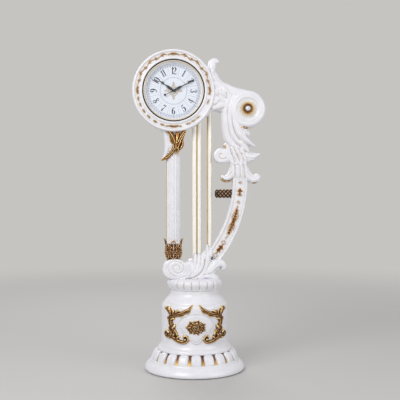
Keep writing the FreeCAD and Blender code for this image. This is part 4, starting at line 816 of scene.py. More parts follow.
# Acrylic lacquer over castings with grooves: the tan glaze stays as a line in every groove.
glazed_lacquer = white_lacquer("white lacquer with tan glaze", 0.25, 1.3, 0.95)
lobed_ring = mesh_piece("lobed_ring", *tube(ring_list), glazed_lacquer)
set_relief(lobed_ring)
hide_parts("gadroon_ring")
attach(lobed_ring, "clock_body")


# Foot of the harp
# One resin casting modelled like carved wood: a big volute under the column, leaves that sweep up to
# the right and lap the beam's lower end, and a hollow curl behind them. It is dowelled and glued.
def roll(x, z, outline, around=110):
    """Points and faces of an outline of radius and y, turned about the Y axis through x, z."""
    turn = angles(around)
    wide, high = np.cos(turn), np.sin(turn)
    return tube([np.stack([x + r * wide, np.full(around, y), z + r * high], 1) for r, y in outline])


def round_slab(x, z, radius, half, edge=9.0):
    """A thick disc that faces the viewer, with its edges rounded."""
    inner = radius - edge
    middle = radius - 0.3 * edge
    outline = [(0.5, -half), (inner, -half), (middle, -half + 0.3 * edge), (radius, -half + edge)]
    outline += [(r, -y) for r, y in outline[::-1]]
    return roll(x, z, outline, 72)


# Acrylic lacquer over carved leaves: the tan glaze is wiped off the ridges and stays in the cuts.
leaf_lacquer = white_lacquer("white lacquer with glaze in the carving", 0.3, 1.9, 0.8)

foot_parts = [
    # Body that lies on the lobed ring
    limb([
        (-118, 538, 26, 50), (-60, 536, 28, 58), (0, 536, 30, 60), (56, 540, 30, 57), (92, 548, 24, 48),
    ], power=3),
    # Volute under the column
    round_slab(-126, 565, 56, 58),
    round_slab(-102, 566, 56, 61),
    round_slab(-70, 556, 48, 60),
    # Smooth hump beside the volute
    limb([(-66, 524, 26, 58), (-46, 554, 30, 57), (-28, 584, 28, 50), (-22, 600, 22, 42)], power=2.8),
    # Web behind the leaves
    limb([(-12, 540, 44, 48), (22, 578, 48, 46), (54, 616, 38, 42), (72, 652, 22, 38)], power=3),
    # Leaves from left to right
    limb([
        (-30, 516, 24, 60), (-6, 560, 28, 60), (3, 602, 24, 54), (4, 632, 15, 44), (2, 654, 5, 32),
    ], power=2.2),
    limb([
        (-12, 514, 24, 62), (14, 556, 28, 62), (25, 600, 22, 55), (26, 630, 14, 44), (22, 652, 5, 32),
    ], power=2.2),
    limb([
        (2, 514, 24, 62), (30, 552, 28, 62), (44, 596, 24, 57), (46, 628, 15, 47), (42, 648, 5, 34),
    ], power=2.2),
    limb([
        (24, 514, 22, 62), (50, 550, 28, 63), (66, 594, 28, 59), (73, 638, 22, 52), (73, 672, 13, 44),
        (71, 699, 4, 32),
    ], power=2.2),
    limb([(92, 640, 14, 48), (92, 664, 13, 45), (88, 684, 5, 36)], power=2.2),
    # Broad leaf that laps the beam
    limb([(34, 518, 22, 60), (72, 546, 34, 62), (106, 576, 34, 58), (130, 592, 28, 52)], power=2.4),
    # Hollow curl on the right
    limb([
        (80, 556, 34, 50), (112, 586, 34, 52), (140, 596, 28, 49), (160, 588, 22, 46),
        (166, 573, 18, 43), (160, 564, 14, 39),
    ], power=2.8),
    # Lobe under the curl
    limb([(62, 530, 22, 66), (98, 524, 24, 62), (120, 510, 22, 56), (130, 500, 14, 48)], power=2.6),
]
foot_cuts = [
    (
        [
            (-50, 526), (-82, 519), (-122, 530), (-147, 556), (-146, 588), (-118, 609), (-86, 604),
            (-64, 580), (-71, 552), (-96, 543), (-118, 556), (-121, 578), (-103, 588), (-89, 580), (-86, 564),
        ],
        6.5, 3.6,
    ),
    ([(-12, 610), (-9, 580), (-18, 546), (-34, 512)], 6.5, 4),
    ([(-32, 512), (-8, 519), (14, 530), (40, 556), (53, 586), (58, 618)], 7, 8),
    ([(13, 640), (12, 604), (2, 566)], 5.5, 2.6),
    ([(34, 636), (33, 600), (22, 566)], 5.5, 2.6),
    ([(84, 612), (94, 604), (96, 590), (84, 566)], 5, 3.5),
    ([(56, 650), (58, 690)], 4.5, 3),
    ([(112, 556), (130, 572), (150, 574)], 7, 5),
    ([(52, 534), (88, 538), (122, 520)], 5.5, 5),
]


column_x = -119.5
mount_radius, mount_floor = 39.0, 612.0
ring_edge, ring_top, ring_side = 60.0, 510.0, 492.0


def foot_seat(place):
    """Flattens the foot where it lies on the lobed ring and where the column's mount stands on it."""
    near = (place[:, 0] - column_x) ** 2 + place[:, 1] ** 2 < mount_radius**2
    near &= place[:, 2] > 590
    place[:, 2] = np.where(near, np.minimum(place[:, 2], mount_floor), place[:, 2])
    place[:, 2] = np.maximum(place[:, 2], np.where(place[:, 0] > ring_edge, ring_side, ring_top))
    return place


foot = cast("foot_casting", foot_parts, 2.2, leaf_lacquer, foot_seat, carving=foot_cuts)
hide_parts("harp_foot")
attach(foot, "clock_body")


# Column mount
# A dark, bulb-shaped collar with an openwork of gilt scrolls on it, which hides the joint between the
# column and the foot. Two leaf tips flick outwards at its top. It is cast resin, gilt and glued.
collar_dark = plain_finish(
    "", "brown bole on cast resin", "#3a1c0c", "#5e3417", 0.6, grain_mm=5.0, bump=0.5,
)
collar_points, collar_faces = turned(
    profile(
        [(20, 611), (34, 611)],
        [(34, 611), (37.5, 614), (37, 618)],
        [(37, 618), (40.5, 628), (44, 644), (45, 660), (43.5, 678), (41.5, 693), (40.8, 702)],
        [(41.2, 702), (20, 704.5)],
        [(20, 704.5), (20, 611)],
    ),
    120, column_x,
)
collar = mesh_piece("column_collar", collar_points, collar_faces, collar_dark)
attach(collar, "clock_body")

collar_turns = 6
collar_radius = 46.0
collar_pitch = 2 * math.pi * collar_radius / collar_turns
collar_heights = [610, 628, 644, 660, 678, 693, 706, 730]
collar_radii = [34, 40, 44, 45, 43.5, 41.5, 40.6, 41]


def round_collar(place):
    """Bends flat openwork round the collar: x becomes the way round, and -y stands off its side."""
    turn = place[:, 0] / collar_radius - np.pi / 2
    reach = np.interp(place[:, 2], collar_heights, collar_radii) - place[:, 1]
    return np.stack([column_x + reach * np.cos(turn), reach * np.sin(turn), place[:, 2]], 1)


openwork = []


def openwork_stroke(rows):
    """Adds one flat stroke of the openwork, which may leave out its depth and its middle's y."""
    openwork.append(limb([tuple(row) + (3.6, -1.6)[len(row) - 3:] for row in rows], around=10, steps=4))


collar_curls = (
    [
        (3, 624, 2.4), (11, 627, 3), (19, 638, 3), (18, 651, 2.8), (10, 656, 2.6), (5, 649, 2.4),
        (9, 643, 1.8),
    ],
    [(2, 664, 2.2), (9, 661, 2.6), (17, 668, 2.8), (17, 681, 2.6), (10, 686, 2.4), (5, 679, 1.8)],
    [(23, 650, 2.2), (22, 664, 2.6), (23, 680, 2.6), (19, 696, 2.8)],
    [(0, 617, 3), (12, 616, 3), (24, 617, 3)],
)
for unit in range(collar_turns):
    shift = (unit - 2) * collar_pitch
    for side in (-1, 1):
        for rows in collar_curls:
            openwork_stroke([(shift + side * x, z, w) for x, z, w in rows])
    openwork_stroke([(shift, 632, 3, 4, -2), (shift, 642, 5.5, 6, -3), (shift, 653, 2.4, 4, -2)])
    # The unit at the front rises in an arch against the column, and the others stay low.
    top = 724.0 if unit == 2 else 706.0
    arch = ((20, 694, 2.8), (17, 0.55 * 694 + 0.45 * top, 3.0), (9, top - 3, 3.0), (0, top, 3.0))
    for side in (-1, 1):
        openwork_stroke([(shift + side * x, z, w) for x, z, w in arch])
    bud = ((670, 2.4, 4, -2), (682, 5.0, 6, -3), (694, 3, 4, -2), (top - 8, 2.2, 3.4, -2))
    openwork_stroke([(shift, *row) for row in bud])
# This gilding is thin: the bole shows everywhere but on the edges of the scrolls, which carry a
# painted highlight; the dark of the hollows is partly painted shade.
collar_gilding = gilding(
    "bronzed gilding on openwork", "#2c1306", "#6e3c14", "#bd8742", "#f5e4bc", 0.0, 0.95,
)
collar_work = cast("column_collar_openwork", openwork, 1.5, collar_gilding, round_collar, 1, 6)
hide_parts("column_base")
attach(collar_work, "clock_body")

flick_parts = []
for side in (-1, 1):
    for rows in (
        [(36, 690, 5, 9), (42, 704, 5.5, 9), (45, 718, 5, 8), (49, 730, 4, 6.5), (56, 737, 2.2, 4)],
        [(39, 704, 3.6, 7, -9), (37, 716, 3.6, 6, -8), (33, 726, 2.4, 4, -6)],
    ):
        rows = [(column_x + side * x, *row) for x, *row in rows]
        flick_parts.append(limb(rows, around=12, steps=4))
flicks = cast("column_collar_tips", flick_parts, 1.6, shaded_antique_gilding, soften=1, rounds=6)
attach(flicks, "clock_body")


# Column
# A hollow casting with sixteen rounded flutes that run out below its ends, lacquered white with a
# little glaze in the flutes. Two gold lines run down its outer side. A steel rod clamps it.
column_radius = 40.0
column_outline = [(20.0, 704.0), (36.0, 704.0), (38.0, 706.0)]
column_outline += [(column_radius, z) for z in np.linspace(710.0, 1236.0, 100)]
column_outline += [(38.0, 1240.0), (20.0, 1240.0)]
flute_count = 16
turn = angles(flute_count * 12)
across = (turn * flute_count / (2 * np.pi)) % 1.0 * 2.0 - 1.0
flute_hollow = 4.6 * np.sqrt(np.clip(1.0 - (across / 0.74) ** 2, 0.0, 1.0))
column_rings = []
for radius, z in column_outline:
    share = min(max((z - 716.0) / 6.0, 0.0), 1.0) * min(max((1232.0 - z) / 6.0, 0.0), 1.0)
    reach = radius - flute_hollow * math.sqrt(share) if radius >= column_radius else radius
    column_rings.append(level_ring(reach, z, turn, column_x))
# Acrylic lacquer on a fluted shaft: the flutes keep a grey-tan shade of glaze along their middles.
flute_lacquer = white_lacquer("white lacquer with glaze in flutes", 0.15, 1.2, 0.7)
column = mesh_piece("fluted_column", *tube(column_rings), flute_lacquer)
set_relief(column, rounds=5)
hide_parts("column_shaft")
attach(column, "clock_body")

# Gold lining in a flute of the outer side: two thin, even and rather pale lines.
pale_gilding = gilding("pale gold lining", "#8a5c28", "#b98a48", "#d9b678", "#f1dfb6", -1.4, 0.7)
lining_parts = []
for degrees in (184.0, 196.0):
    lined_x = column_x + column_radius * math.cos(math.radians(degrees))
    lined_y = column_radius * math.sin(math.radians(degrees))
    rows = [(lined_x, z, 1.5, 1.5, lined_y) for z in (728.0, 850.0, 1000.0, 1120.0, 1200.0)]
    lining_parts.append(limb(rows, around=10, steps=8))
lining = mesh_piece("column_gold_lining", *joined(lining_parts), pale_gilding)
set_relief(lining, rounds=1)
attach(lining, "clock_body")


# Bracket between column and drum
# The casting above the column spreads to meet the drum, with a web on its left that ends in a small
# pointed flick below. It is dowelled to the drum, and lacquered like the leaves.
drum_x, drum_z = -119.5, 1567.0
drum_skin = 221.0
bracket_parts = [
    limb([
        (column_x, 1262, 39, 40), (column_x, 1300, 43, 42), (-122, 1346, 52, 42), (-126, 1372, 58, 41),
    ], power=3),
    limb(
        [
            (-190, 1382, 18, 36), (-172, 1350, 18, 39), (-157, 1312, 19, 39), (-152, 1272, 19, 37),
            (-154, 1240, 18, 34), (-160, 1212, 15, 28), (-172, 1192, 11, 22), (-188, 1180, 5, 12),
        ],
        power=2.6,
    ),
    limb([(-92, 1256, 12, 36), (-84, 1300, 14, 38), (-74, 1340, 17, 39), (-60, 1362, 18, 38)], power=2.6),
]


def below_drum(place):
    """Keeps a carving out of the drum, which is rounded where it meets it."""
    out = place[:, (0, 2)] - (drum_x, drum_z)
    reach = np.linalg.norm(out, axis=1)
    held = np.maximum(reach, drum_skin) / np.maximum(reach, 1.0)
    place[:, 0] = drum_x + out[:, 0] * held
    place[:, 2] = drum_z + out[:, 1] * held
    return place


bracket = cast("bracket_casting", bracket_parts, 2.2, leaf_lacquer, below_drum, 3)
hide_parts("column_bracket")
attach(bracket, "clock_body")

# The gilt leaf opens in two arms under the drum, crosses the bracket and trails off on its left edge.
# Its gilding is dark: brown bole, with bronze powder on the high places only; a painted highlight
# lies on those places and painted shade in the hollows.
mount_gilding = gilding("dark bronzed gilding", "#2c1204", "#70400f", "#bb7c30", "#f2d698", -0.2, 1.15)
bracket_leaf_parts = [
    limb([
        (-159, 1343, 6, 6, -44), (-142, 1336, 12, 9, -45), (-125, 1312, 15, 10, -46),
        (-112, 1280, 15, 11, -46), (-108, 1246, 11, 10, -45),
    ], power=1.7),
    limb([
        (-52, 1346, 6, 7, -43), (-64, 1330, 12, 9, -44), (-78, 1302, 15, 10, -45),
        (-92, 1270, 14, 11, -46), (-104, 1240, 10, 10, -45),
    ], power=1.7),
    limb([
        (-96, 1346, 8, 8, -45), (-98, 1320, 12, 10, -47), (-101, 1290, 12, 11, -49),
        (-105, 1260, 8, 10, -48),
    ], power=1.8),
    limb([
        (-78, 1300, 10, 9, -44), (-72, 1272, 11, 9, -42), (-76, 1250, 9, 9, -40), (-86, 1238, 5, 7, -40),
    ], power=1.8),
    limb([
        (-110, 1266, 11, 10, -45), (-120, 1238, 12, 10, -44), (-137, 1212, 11, 10, -38),
        (-158, 1194, 10, 10, -29), (-190, 1178, 4, 7, -15),
    ], power=1.8),
    limb([(-140, 1338, 8, 7, -44), (-136, 1322, 8, 8, -45), (-141, 1306, 4, 6, -44)], power=1.8),
    limb([(-130, 1306, 8, 8, -45), (-134, 1290, 7, 8, -44), (-132, 1274, 4, 6, -43)], power=1.8),
    limb([
        (-98, 1252, 8, 10, -46), (-94, 1236, 8, 10, -45), (-98, 1220, 5, 8, -44),
        (-107, 1211, 3, 5, -43),
    ], power=1.8),
]
bracket_leaf_cuts = [
    ([(-148, 1336), (-128, 1304), (-116, 1266), (-110, 1240)], 4, 5),
    ([(-58, 1334), (-80, 1298), (-96, 1258), (-104, 1236)], 4, 5),
    ([(-110, 1340), (-108, 1310), (-106, 1280)], 4, 5),
    ([(-84, 1340), (-90, 1310), (-98, 1280)], 4, 5),
    ([(-112, 1256), (-130, 1222), (-160, 1196)], 3.5, 4),
    ([(-76, 1290), (-74, 1268), (-82, 1248)], 3.5, 4),
]
bracket_leaf = cast(
    "bracket_gilt_leaf", bracket_leaf_parts, 1.6, mount_gilding, below_drum, 1, 9, bracket_leaf_cuts
)
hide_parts("bracket_leaf")
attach(bracket_leaf, "clock_body")


# Strings
# Three turned rods stand for the harp's strings. They are lacquered in a warmer cream than the
# castings, with a fine gold bead down each side, and their ends are let into foot and drum.
cream_lacquer, tree, shader = new_material("cream lacquer on turned rods")
brush = noise(tree, grain_mm=5.0, detail=3.0, along=0.12)
cream = ramp(tree, brush, (0.3, "#f6f2ea"), (0.7, "#fdfbf5"))
skin = dents(tree, brush, 0.15, 0.0002)
put(tree, shader, {"Base Color": cream, "Normal": skin, "Roughness": 0.28, "Coat Weight": 0.4})

string_places = (
    ("left", -1, 12, 580, 1386), ("middle", 27.2, 10.5, 580, 1404), ("right", 87, 10, 680, 1482)
)
edge_parts = []
for hand_name, x, radius, low, high in string_places:
    heights = np.linspace(low + radius, high - radius, 7)
    rows = [(x, z, radius, radius) for z in heights]
    rod = mesh_piece("string_" + hand_name, *limb(rows, around=28, steps=6), cream_lacquer)
    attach(rod, "clock_body")
    if hand_name == "left":
        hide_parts("string_rods")
    for side in (-1, 1):
        rows = [(x + side * (radius - 0.6), z, 2.0, 2.0, -2.0) for z in heights]
        edge_parts.append(limb(rows, around=10, steps=6))
string_edges = mesh_piece("string_gold_beads", *joined(edge_parts), pale_gilding)
set_relief(string_edges, rounds=1)
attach(string_edges, "clock_body")

# The slats behind the rods are planed strips with gold size and powder brushed along them.
slat_gilding, tree, shader = new_material("gold powder brushed on planed strips")
brush = noise(tree, grain_mm=4.0, detail=4.0, along=0.06)
tone = ramp(tree, brush, (0.25, "#b8935c"), (0.5, "#dabd8c"), (0.75, "#eddcb6"))
put(tree, shader, {"Base Color": tone, "Metallic": 0.35, "Roughness": 0.42})
slats = nodes["string_slats"]
slats.data.materials.clear()
slats.data.materials.append(slat_gilding)


# Sound beam
# The curved beam is a casting with a rounded back, a sunk front panel and a thin bead along each
# edge. It is dowelled into the foot and into the post.
beam_x, beam_z, beam_radius = -423.8, 1060.0, 680.8
beam_sweep = math.radians(38.9)
beam_section = [
    (-36, 42), (-40, 39), (-42, 34), (-42, -33), (-41, -38.5), (-38, -41.5), (-34, -42), (-31, -40.8),
    (-29, -38.5), (-26, -38.2), (-13, -39.4), (0, -40), (13, -39.4), (26, -38.2), (29, -38.5), (31, -40.8),
    (34, -42), (38, -41.5), (41, -38.5), (42, -33), (42, 34), (40, 39), (36, 42), (17, 43), (-17, 43),
]


def on_beam(place):
    """Bends a flat upright ornament to the beam: z becomes the way down it, and x the way across."""
    turn = -place[:, 2] / beam_radius
    reach = beam_radius + place[:, 0]
    return np.stack([beam_x + reach * np.cos(turn), place[:, 1], beam_z - reach * np.sin(turn)], 1)


beam_steps = 90
beam_rings = [
    on_beam(np.array([(x, y, -down) for x, y in beam_section]))
    for down in np.linspace(-14.0, beam_radius * beam_sweep, beam_steps)
]
beam = mesh_piece("beam_casting", *capped(beam_rings), leaf_lacquer)
set_relief(beam, rounds=3)
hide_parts("sound_beam")
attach(beam, "clock_body")


# Mounts on the beam
# Small stamped ornaments are pinned down the beam's front: open rings, a lily, two feathered tufts
# and a drop. They have the same dark gilding as the bracket's leaf.
mount_parts = []


def mount(rows, down):
    """Adds one stroke of an ornament, so many millimetres down the beam. It lies on the sunk panel."""
    mount_parts.append(limb([(x, z - down, w, 3.6, -42.0) for x, z, w in rows], around=10, steps=4))


# Open rings
for down, size in ((8.0, 1.0), (118.0, 1.15), (362.0, 1.6), (446.0, 1.7)):
    ring = [(6, 3), (1, 6.5), (-5, 4), (-6.5, -2), (-2, -6.5), (4.5, -5), (6.4, -0.5), (5.6, 3.4)]
    mount([(size * x, size * z, 1.5) for x, z in ring], down)
# Lily, small leaf, comma and the drop near the foot
for down, rows in (
    (62, [(0, 25, 3), (0, 12, 5.5), (0, -4, 4), (0, -24, 2)]),
    (62, [(-2, 2, 3), (-10, 10, 4.6), (-15, 4, 2.6)]),
    (62, [(2, 2, 3), (10, 10, 4.6), (15, 4, 2.6)]),
    (62, [(-1, -6, 2.6), (-8, -12, 3.6), (-10, -20, 2)]),
    (62, [(1, -6, 2.6), (8, -12, 3.6), (10, -20, 2)]),
    (148, [(3, 8, 2), (-2, 4, 3.2), (-1, -3, 2.6), (-4, -10, 1.6)]),
    (330, [(7, 9, 1.4), (0, 5, 2.2), (-3, -3, 2), (3, -10, 1.4)]),
    (404, [(2, 30, 2.5), (1, 14, 7), (-1, -4, 8), (-2, -18, 5), (-1, -30, 2)]),
    (404, [(-2, 10, 3), (-10, 16, 4), (-13, 9, 2.4)]),
    (404, [(2, 8, 3), (11, 11, 4.4), (15, 4, 2.6)]),
    (404, [(-2, -4, 3), (-9, -9, 4), (-11, -17, 2.4)]),
    (404, [(2, -8, 3), (9, -11, 3.8), (10, -18, 2)]),
):
    mount(rows, down)
# Feathered tufts: the upper one points up, the lower one down
for way, middle, length in ((1, 198.0, 44.0), (-1, 270.0, 46.0)):
    mount([(0, way * length * share, w) for share, w in (
        (1, 2), (0.4, 4.4), (-0.3, 5), (-0.75, 3),
    )], middle)
    for pair, spread in enumerate((8.0, 13.0, 18.0, 17.0, 11.0)):
        rise = way * length * (0.62 - 0.33 * pair)
        barb = ((2, -5, 2.8), (spread * 0.7, 1, 3.4), (spread, 10, 1.8))
        for side in (-1, 1):
            mount([(side * out, rise + way * up, w) for out, up, w in barb], middle)
beam_mounts = cast("beam_mounts_gilt", mount_parts, 1.3, mount_gilding, on_beam, 1, 7)
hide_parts("beam_mounts")
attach(beam_mounts, "clock_body")

# The boss is a dark stub with a scaly, knotted surface on the beam's inner side, pinned from behind.
knotted_bronze, tree, shader = new_material("dark bronze patina on knotted casting")
relief_mix = calc(tree, "MULTIPLY_ADD", relief_of(tree), 0.8, noise(tree, grain_mm=13.0, detail=5.0))
tone = ramp(tree, relief_mix, (0.3, "#0e0805"), (0.6, "#2c1b13"), (0.95, "#775640"), (1.4, "#a88668"))
put(tree, shader, {"Base Color": tone, "Metallic": 0.5, "Roughness": 0.5})

boss_rows = [
    (116, 2), (116.5, 12), (119, 18), (124, 22), (131, 23), (140, 23.5), (160, 23.5), (190, 23.5),
    (209, 23.5), (214, 20), (214, 2),
]
boss_line = curve(boss_rows, 10)
boss_height = 990.0
turn = angles(96)
boss_rings = []
for x, radius in boss_line:
    share = min(max((radius - 14.0) / 6.0, 0.0), 1.0)
    scale = np.abs(np.sin(3 * turn + x * 0.15)) * np.abs(np.sin(3 * turn - x * 0.15))
    reach = np.maximum(radius, 1.0) + share * (4.8 * scale - 2.6)
    ring = [np.full(len(turn), x), reach * np.cos(turn), boss_height + reach * np.sin(turn)]
    boss_rings.append(np.stack(ring, 1))
boss = mesh_piece("knotted_boss", *capped(boss_rings), knotted_bronze)
set_relief(boss, rounds=6)
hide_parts("bronze_boss")
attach(boss, "clock_body")


# Leafy post
# The post under the big volute is a bundle of acanthus leaves that part to the right. A small volute
# grows from its left side, and a bell of pleats with two curls covers the top of the beam.
post_parts = [
    # Trunk, which reaches up into the neck
    limb([
        (206, 1520, 44, 44), (204, 1420, 46, 46), (210, 1340, 44, 44), (216, 1280, 42, 43),
        (234, 1200, 42, 42), (252, 1110, 42, 42),
    ], power=2.8),
    # Long leaves that lie over each other and sweep to the right at their lower ends
    limb([
        (200, 1548, 20, 50), (180, 1500, 26, 54), (173, 1440, 24, 55), (177, 1370, 24, 53),
        (187, 1310, 24, 51), (205, 1272, 21, 48), (232, 1252, 12, 42),
    ], power=2.3),
    limb([
        (226, 1548, 18, 56), (206, 1490, 26, 61), (198, 1425, 26, 62), (204, 1362, 26, 59),
        (221, 1312, 25, 56), (248, 1278, 20, 51), (284, 1256, 10, 42),
    ], power=2.3),
    limb([
        (252, 1550, 16, 58), (230, 1490, 26, 64), (223, 1425, 27, 64), (232, 1368, 27, 61),
        (258, 1322, 27, 57), (296, 1290, 22, 48), (340, 1260, 8, 30),
    ], power=2.3),
    # Leaf with a round tip under the volute
    limb([(238, 1410, 26, 56), (262, 1366, 28, 55), (285, 1337, 26, 50), (297, 1329, 24, 44)], power=2.4),
    # Broad leaf whose point is the furthest to the right
    limb([
        (224, 1236, 26, 46), (258, 1214, 36, 48), (292, 1198, 38, 44), (324, 1199, 29, 36),
        (350, 1207, 17, 28), (371, 1215, 6, 20),
    ], power=2.2),
    limb([(262, 1280, 24, 50), (284, 1252, 26, 46), (304, 1230, 14, 38)], power=2.2),
    # Tier between the leaves and the bell
    limb([(186, 1262, 20, 46), (196, 1216, 21, 46), (212, 1168, 16, 43)], power=2.4),
    limb([(210, 1250, 18, 50), (226, 1210, 20, 50), (243, 1168, 14, 47)], power=2.2),
    limb([(234, 1246, 18, 52), (254, 1210, 20, 52), (272, 1170, 14, 49)], power=2.2),
    limb([(264, 1240, 16, 51), (280, 1206, 18, 50), (288, 1168, 12, 47)], power=2.2),
    # Small volute on the left
    round_slab(149, 1204, 42, 45, 9.0),
    limb([(160, 1176, 18, 42), (184, 1186, 24, 43), (208, 1200, 26, 45)], power=2.8),
    # Pleated bell over the top of the beam
    limb([(249, 1190, 42, 44), (250, 1146, 47, 46), (252, 1112, 48, 47), (256, 1084, 48, 46)], power=2.8),
    limb([(212, 1180, 14, 47), (216, 1140, 15, 48), (218, 1104, 15, 48), (218, 1086, 12, 46)], power=2.2),
    limb([(236, 1176, 13, 49), (238, 1138, 15, 52), (240, 1102, 15, 52), (240, 1084, 12, 49)], power=2.2),
    limb([(260, 1176, 13, 49), (264, 1138, 15, 52), (266, 1102, 15, 52), (267, 1084, 12, 49)], power=2.2),
    limb([(282, 1176, 12, 47), (288, 1140, 14, 48), (293, 1104, 15, 48), (296, 1084, 13, 46)], power=2.2),
    # Curls of the bell
    limb([
        (216, 1126, 20, 45), (206, 1098, 22, 45), (190, 1080, 20, 43), (172, 1076, 17, 40),
        (160, 1083, 12, 36),
    ], power=2.6),
    limb([
        (286, 1130, 22, 46), (304, 1092, 28, 47), (326, 1074, 27, 46), (348, 1076, 27, 45),
        (356, 1082, 24, 42),
    ], power=2.6),
]
post_cuts = [
    ([(192, 1520), (186, 1460), (188, 1390), (200, 1326), (226, 1282), (252, 1262)], 7, 4.6),
    ([(218, 1520), (210, 1460), (212, 1396), (226, 1340), (254, 1300), (296, 1268)], 7, 4.6),
    ([(244, 1500), (240, 1440), (252, 1380), (278, 1340), (300, 1312), (326, 1282)], 7, 5),
    ([(166, 1440), (166, 1380), (174, 1324)], 5.5, 2.6),
    ([(232, 1400), (240, 1360), (262, 1324)], 5.5, 2.6),
    ([(266, 1384), (282, 1352), (302, 1342)], 5, 3.4),
    ([(176, 1278), (192, 1262), (214, 1252), (240, 1246), (262, 1236)], 6, 6),
    ([(262, 1244), (300, 1224), (344, 1214)], 5.5, 3.6),
    ([(264, 1216), (296, 1192), (330, 1188)], 5.5, 3.6),
    ([(200, 1244), (212, 1210), (228, 1168)], 6, 4.4),
    ([(224, 1240), (240, 1206), (258, 1166)], 6, 4.4),
    ([(252, 1232), (268, 1204), (282, 1166)], 6, 4),
    ([(206, 1158), (226, 1150), (246, 1156), (266, 1149), (288, 1156)], 5, 4.4),
    ([(229, 1146), (230, 1110), (229, 1078)], 6, 4.6),
    ([(255, 1146), (257, 1110), (256, 1078)], 6, 4.6),
    ([(279, 1146), (283, 1110), (285, 1078)], 6, 4.6),
    ([(208, 1112), (196, 1092), (176, 1084)], 4.5, 4),
    ([(298, 1112), (316, 1088), (342, 1082), (352, 1092)], 4.5, 4),
    ([(176, 1192), (160, 1184), (143, 1191), (139, 1206), (148, 1215), (158, 1208)], 6, 5),
]
post = cast("post_casting", post_parts, 2.2, leaf_lacquer, carving=post_cuts)
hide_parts("leaf_post")
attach(post, "clock_body")

# Touches of gold where a brush has reached under the volute, under the curls and beside the leaves.
touch_parts = [
    limb([
        (256, 1370, 5, 20, -30), (270, 1364, 9, 24, -30), (286, 1361, 8, 24, -30),
        (298, 1360, 4, 18, -30),
    ], around=12),
    limb([(164, 1264, 4, 12, -34), (168, 1257, 6, 14, -34), (172, 1249, 4, 12, -34)], around=12),
    limb([
        (148, 1078, 3, 18, -22), (154, 1068, 4.5, 22, -22), (170, 1060, 5, 22, -22),
        (190, 1059, 4.5, 22, -22), (208, 1062, 3, 18, -22),
    ], around=12),
    limb([(324, 1052, 2, 16, -20), (338, 1049, 2.6, 20, -20), (352, 1052, 2, 16, -20)], around=12),
]
touches = cast("post_gold_touches", touch_parts, 2.0, mount_gilding, None, 1, 6)
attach(touches, "clock_body")


# Neck and big volute
# The neck is one casting from the drum's side to the big roll above the post. Its front is modelled
# as crumpled leaf with glaze in the folds, and a curled leaf tip stands up beside the drum.
volute_x, volute_z = 297.5, 1468.0
roll_outline = [
    (0.5, -55), (52, -55), (58, -56.5), (63, -60.5), (68, -62.5), (73, -61), (77, -59.8),
    (86, -61.8), (95, -59), (101.5, -52), (105, -40),
]
roll_outline += [(105.0, 41.0), (101.5, 53.0), (95.0, 59.0), (84.0, 62.0), (60.0, 60.0), (0.5, 58.0)]
neck_parts = [
    # Side of the neck that follows the drum
    limb([
        (64, 1440, 16, 40), (92, 1488, 30, 54), (106, 1540, 42, 58), (104, 1600, 42, 58),
        (96, 1652, 34, 52),
    ], power=3.4),
    # Arm out to the roll
    limb([(112, 1548, 88, 50), (160, 1534, 86, 51), (212, 1512, 80, 52), (262, 1488, 84, 52)], power=3.6),
    limb([
        (100, 1660, 32, 46), (128, 1616, 30, 48), (170, 1587, 28, 50), (226, 1567, 28, 51),
        (284, 1553, 28, 52), (330, 1538, 24, 52),
    ], power=3),
    roll(volute_x, volute_z, roll_outline),
    # Leaf tip beside the drum
    limb([
        (100, 1630, 38, 48), (96, 1668, 28, 44), (98, 1700, 24, 40), (103, 1728, 25, 36),
        (114, 1739, 22, 32), (128, 1740, 15, 28),
    ], power=2.8),
    # Crumpled leaf on the front
    limb([
        (78, 1540, 20, 8, -60), (104, 1556, 24, 9, -56), (134, 1562, 22, 9, -52),
        (160, 1552, 14, 7, -49),
    ], power=2.2),
    limb([
        (82, 1496, 16, 8, -58), (108, 1512, 22, 9, -55), (136, 1524, 20, 9, -52),
        (162, 1516, 13, 7, -49),
    ], power=2.2),
    limb([
        (104, 1474, 14, 8, -52), (130, 1484, 18, 9, -51), (156, 1488, 16, 9, -50),
        (176, 1478, 10, 7, -48),
    ], power=2.2),
    limb([
        (146, 1590, 14, 8, -50), (174, 1566, 17, 9, -50), (192, 1538, 14, 8, -50),
        (198, 1508, 9, 7, -49),
    ], power=2.2),
    limb([(86, 1598, 18, 8, -57), (116, 1606, 20, 9, -54), (146, 1596, 13, 7, -50)], power=2.2),
    limb([(86, 1640, 14, 8, -50), (98, 1664, 14, 8, -46), (100, 1690, 10, 7, -41)], power=2.2),
]
neck_cuts = [
    ([(84, 1624), (98, 1608), (110, 1582), (106, 1552)], 4.5, 3.5),
    ([(106, 1552), (120, 1540), (136, 1534)], 4.5, 3),
    ([(136, 1572), (132, 1546), (140, 1516), (128, 1500)], 4.5, 3.5),
    ([(178, 1556), (180, 1542), (176, 1528)], 5.5, 5.5),
    ([(104, 1492), (114, 1488), (122, 1494)], 5, 4.5),
    ([(150, 1606), (156, 1586), (150, 1566)], 4.5, 3),
    ([(214, 1520), (204, 1490), (200, 1450), (204, 1420)], 5.5, 3.5),
    ([(104, 1706), (106, 1676), (118, 1650)], 5, 3),
]
neck = cast("neck_casting", neck_parts, 2.3, leaf_lacquer, below_drum, carving=neck_cuts)
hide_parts("neck")
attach(neck, "clock_body")


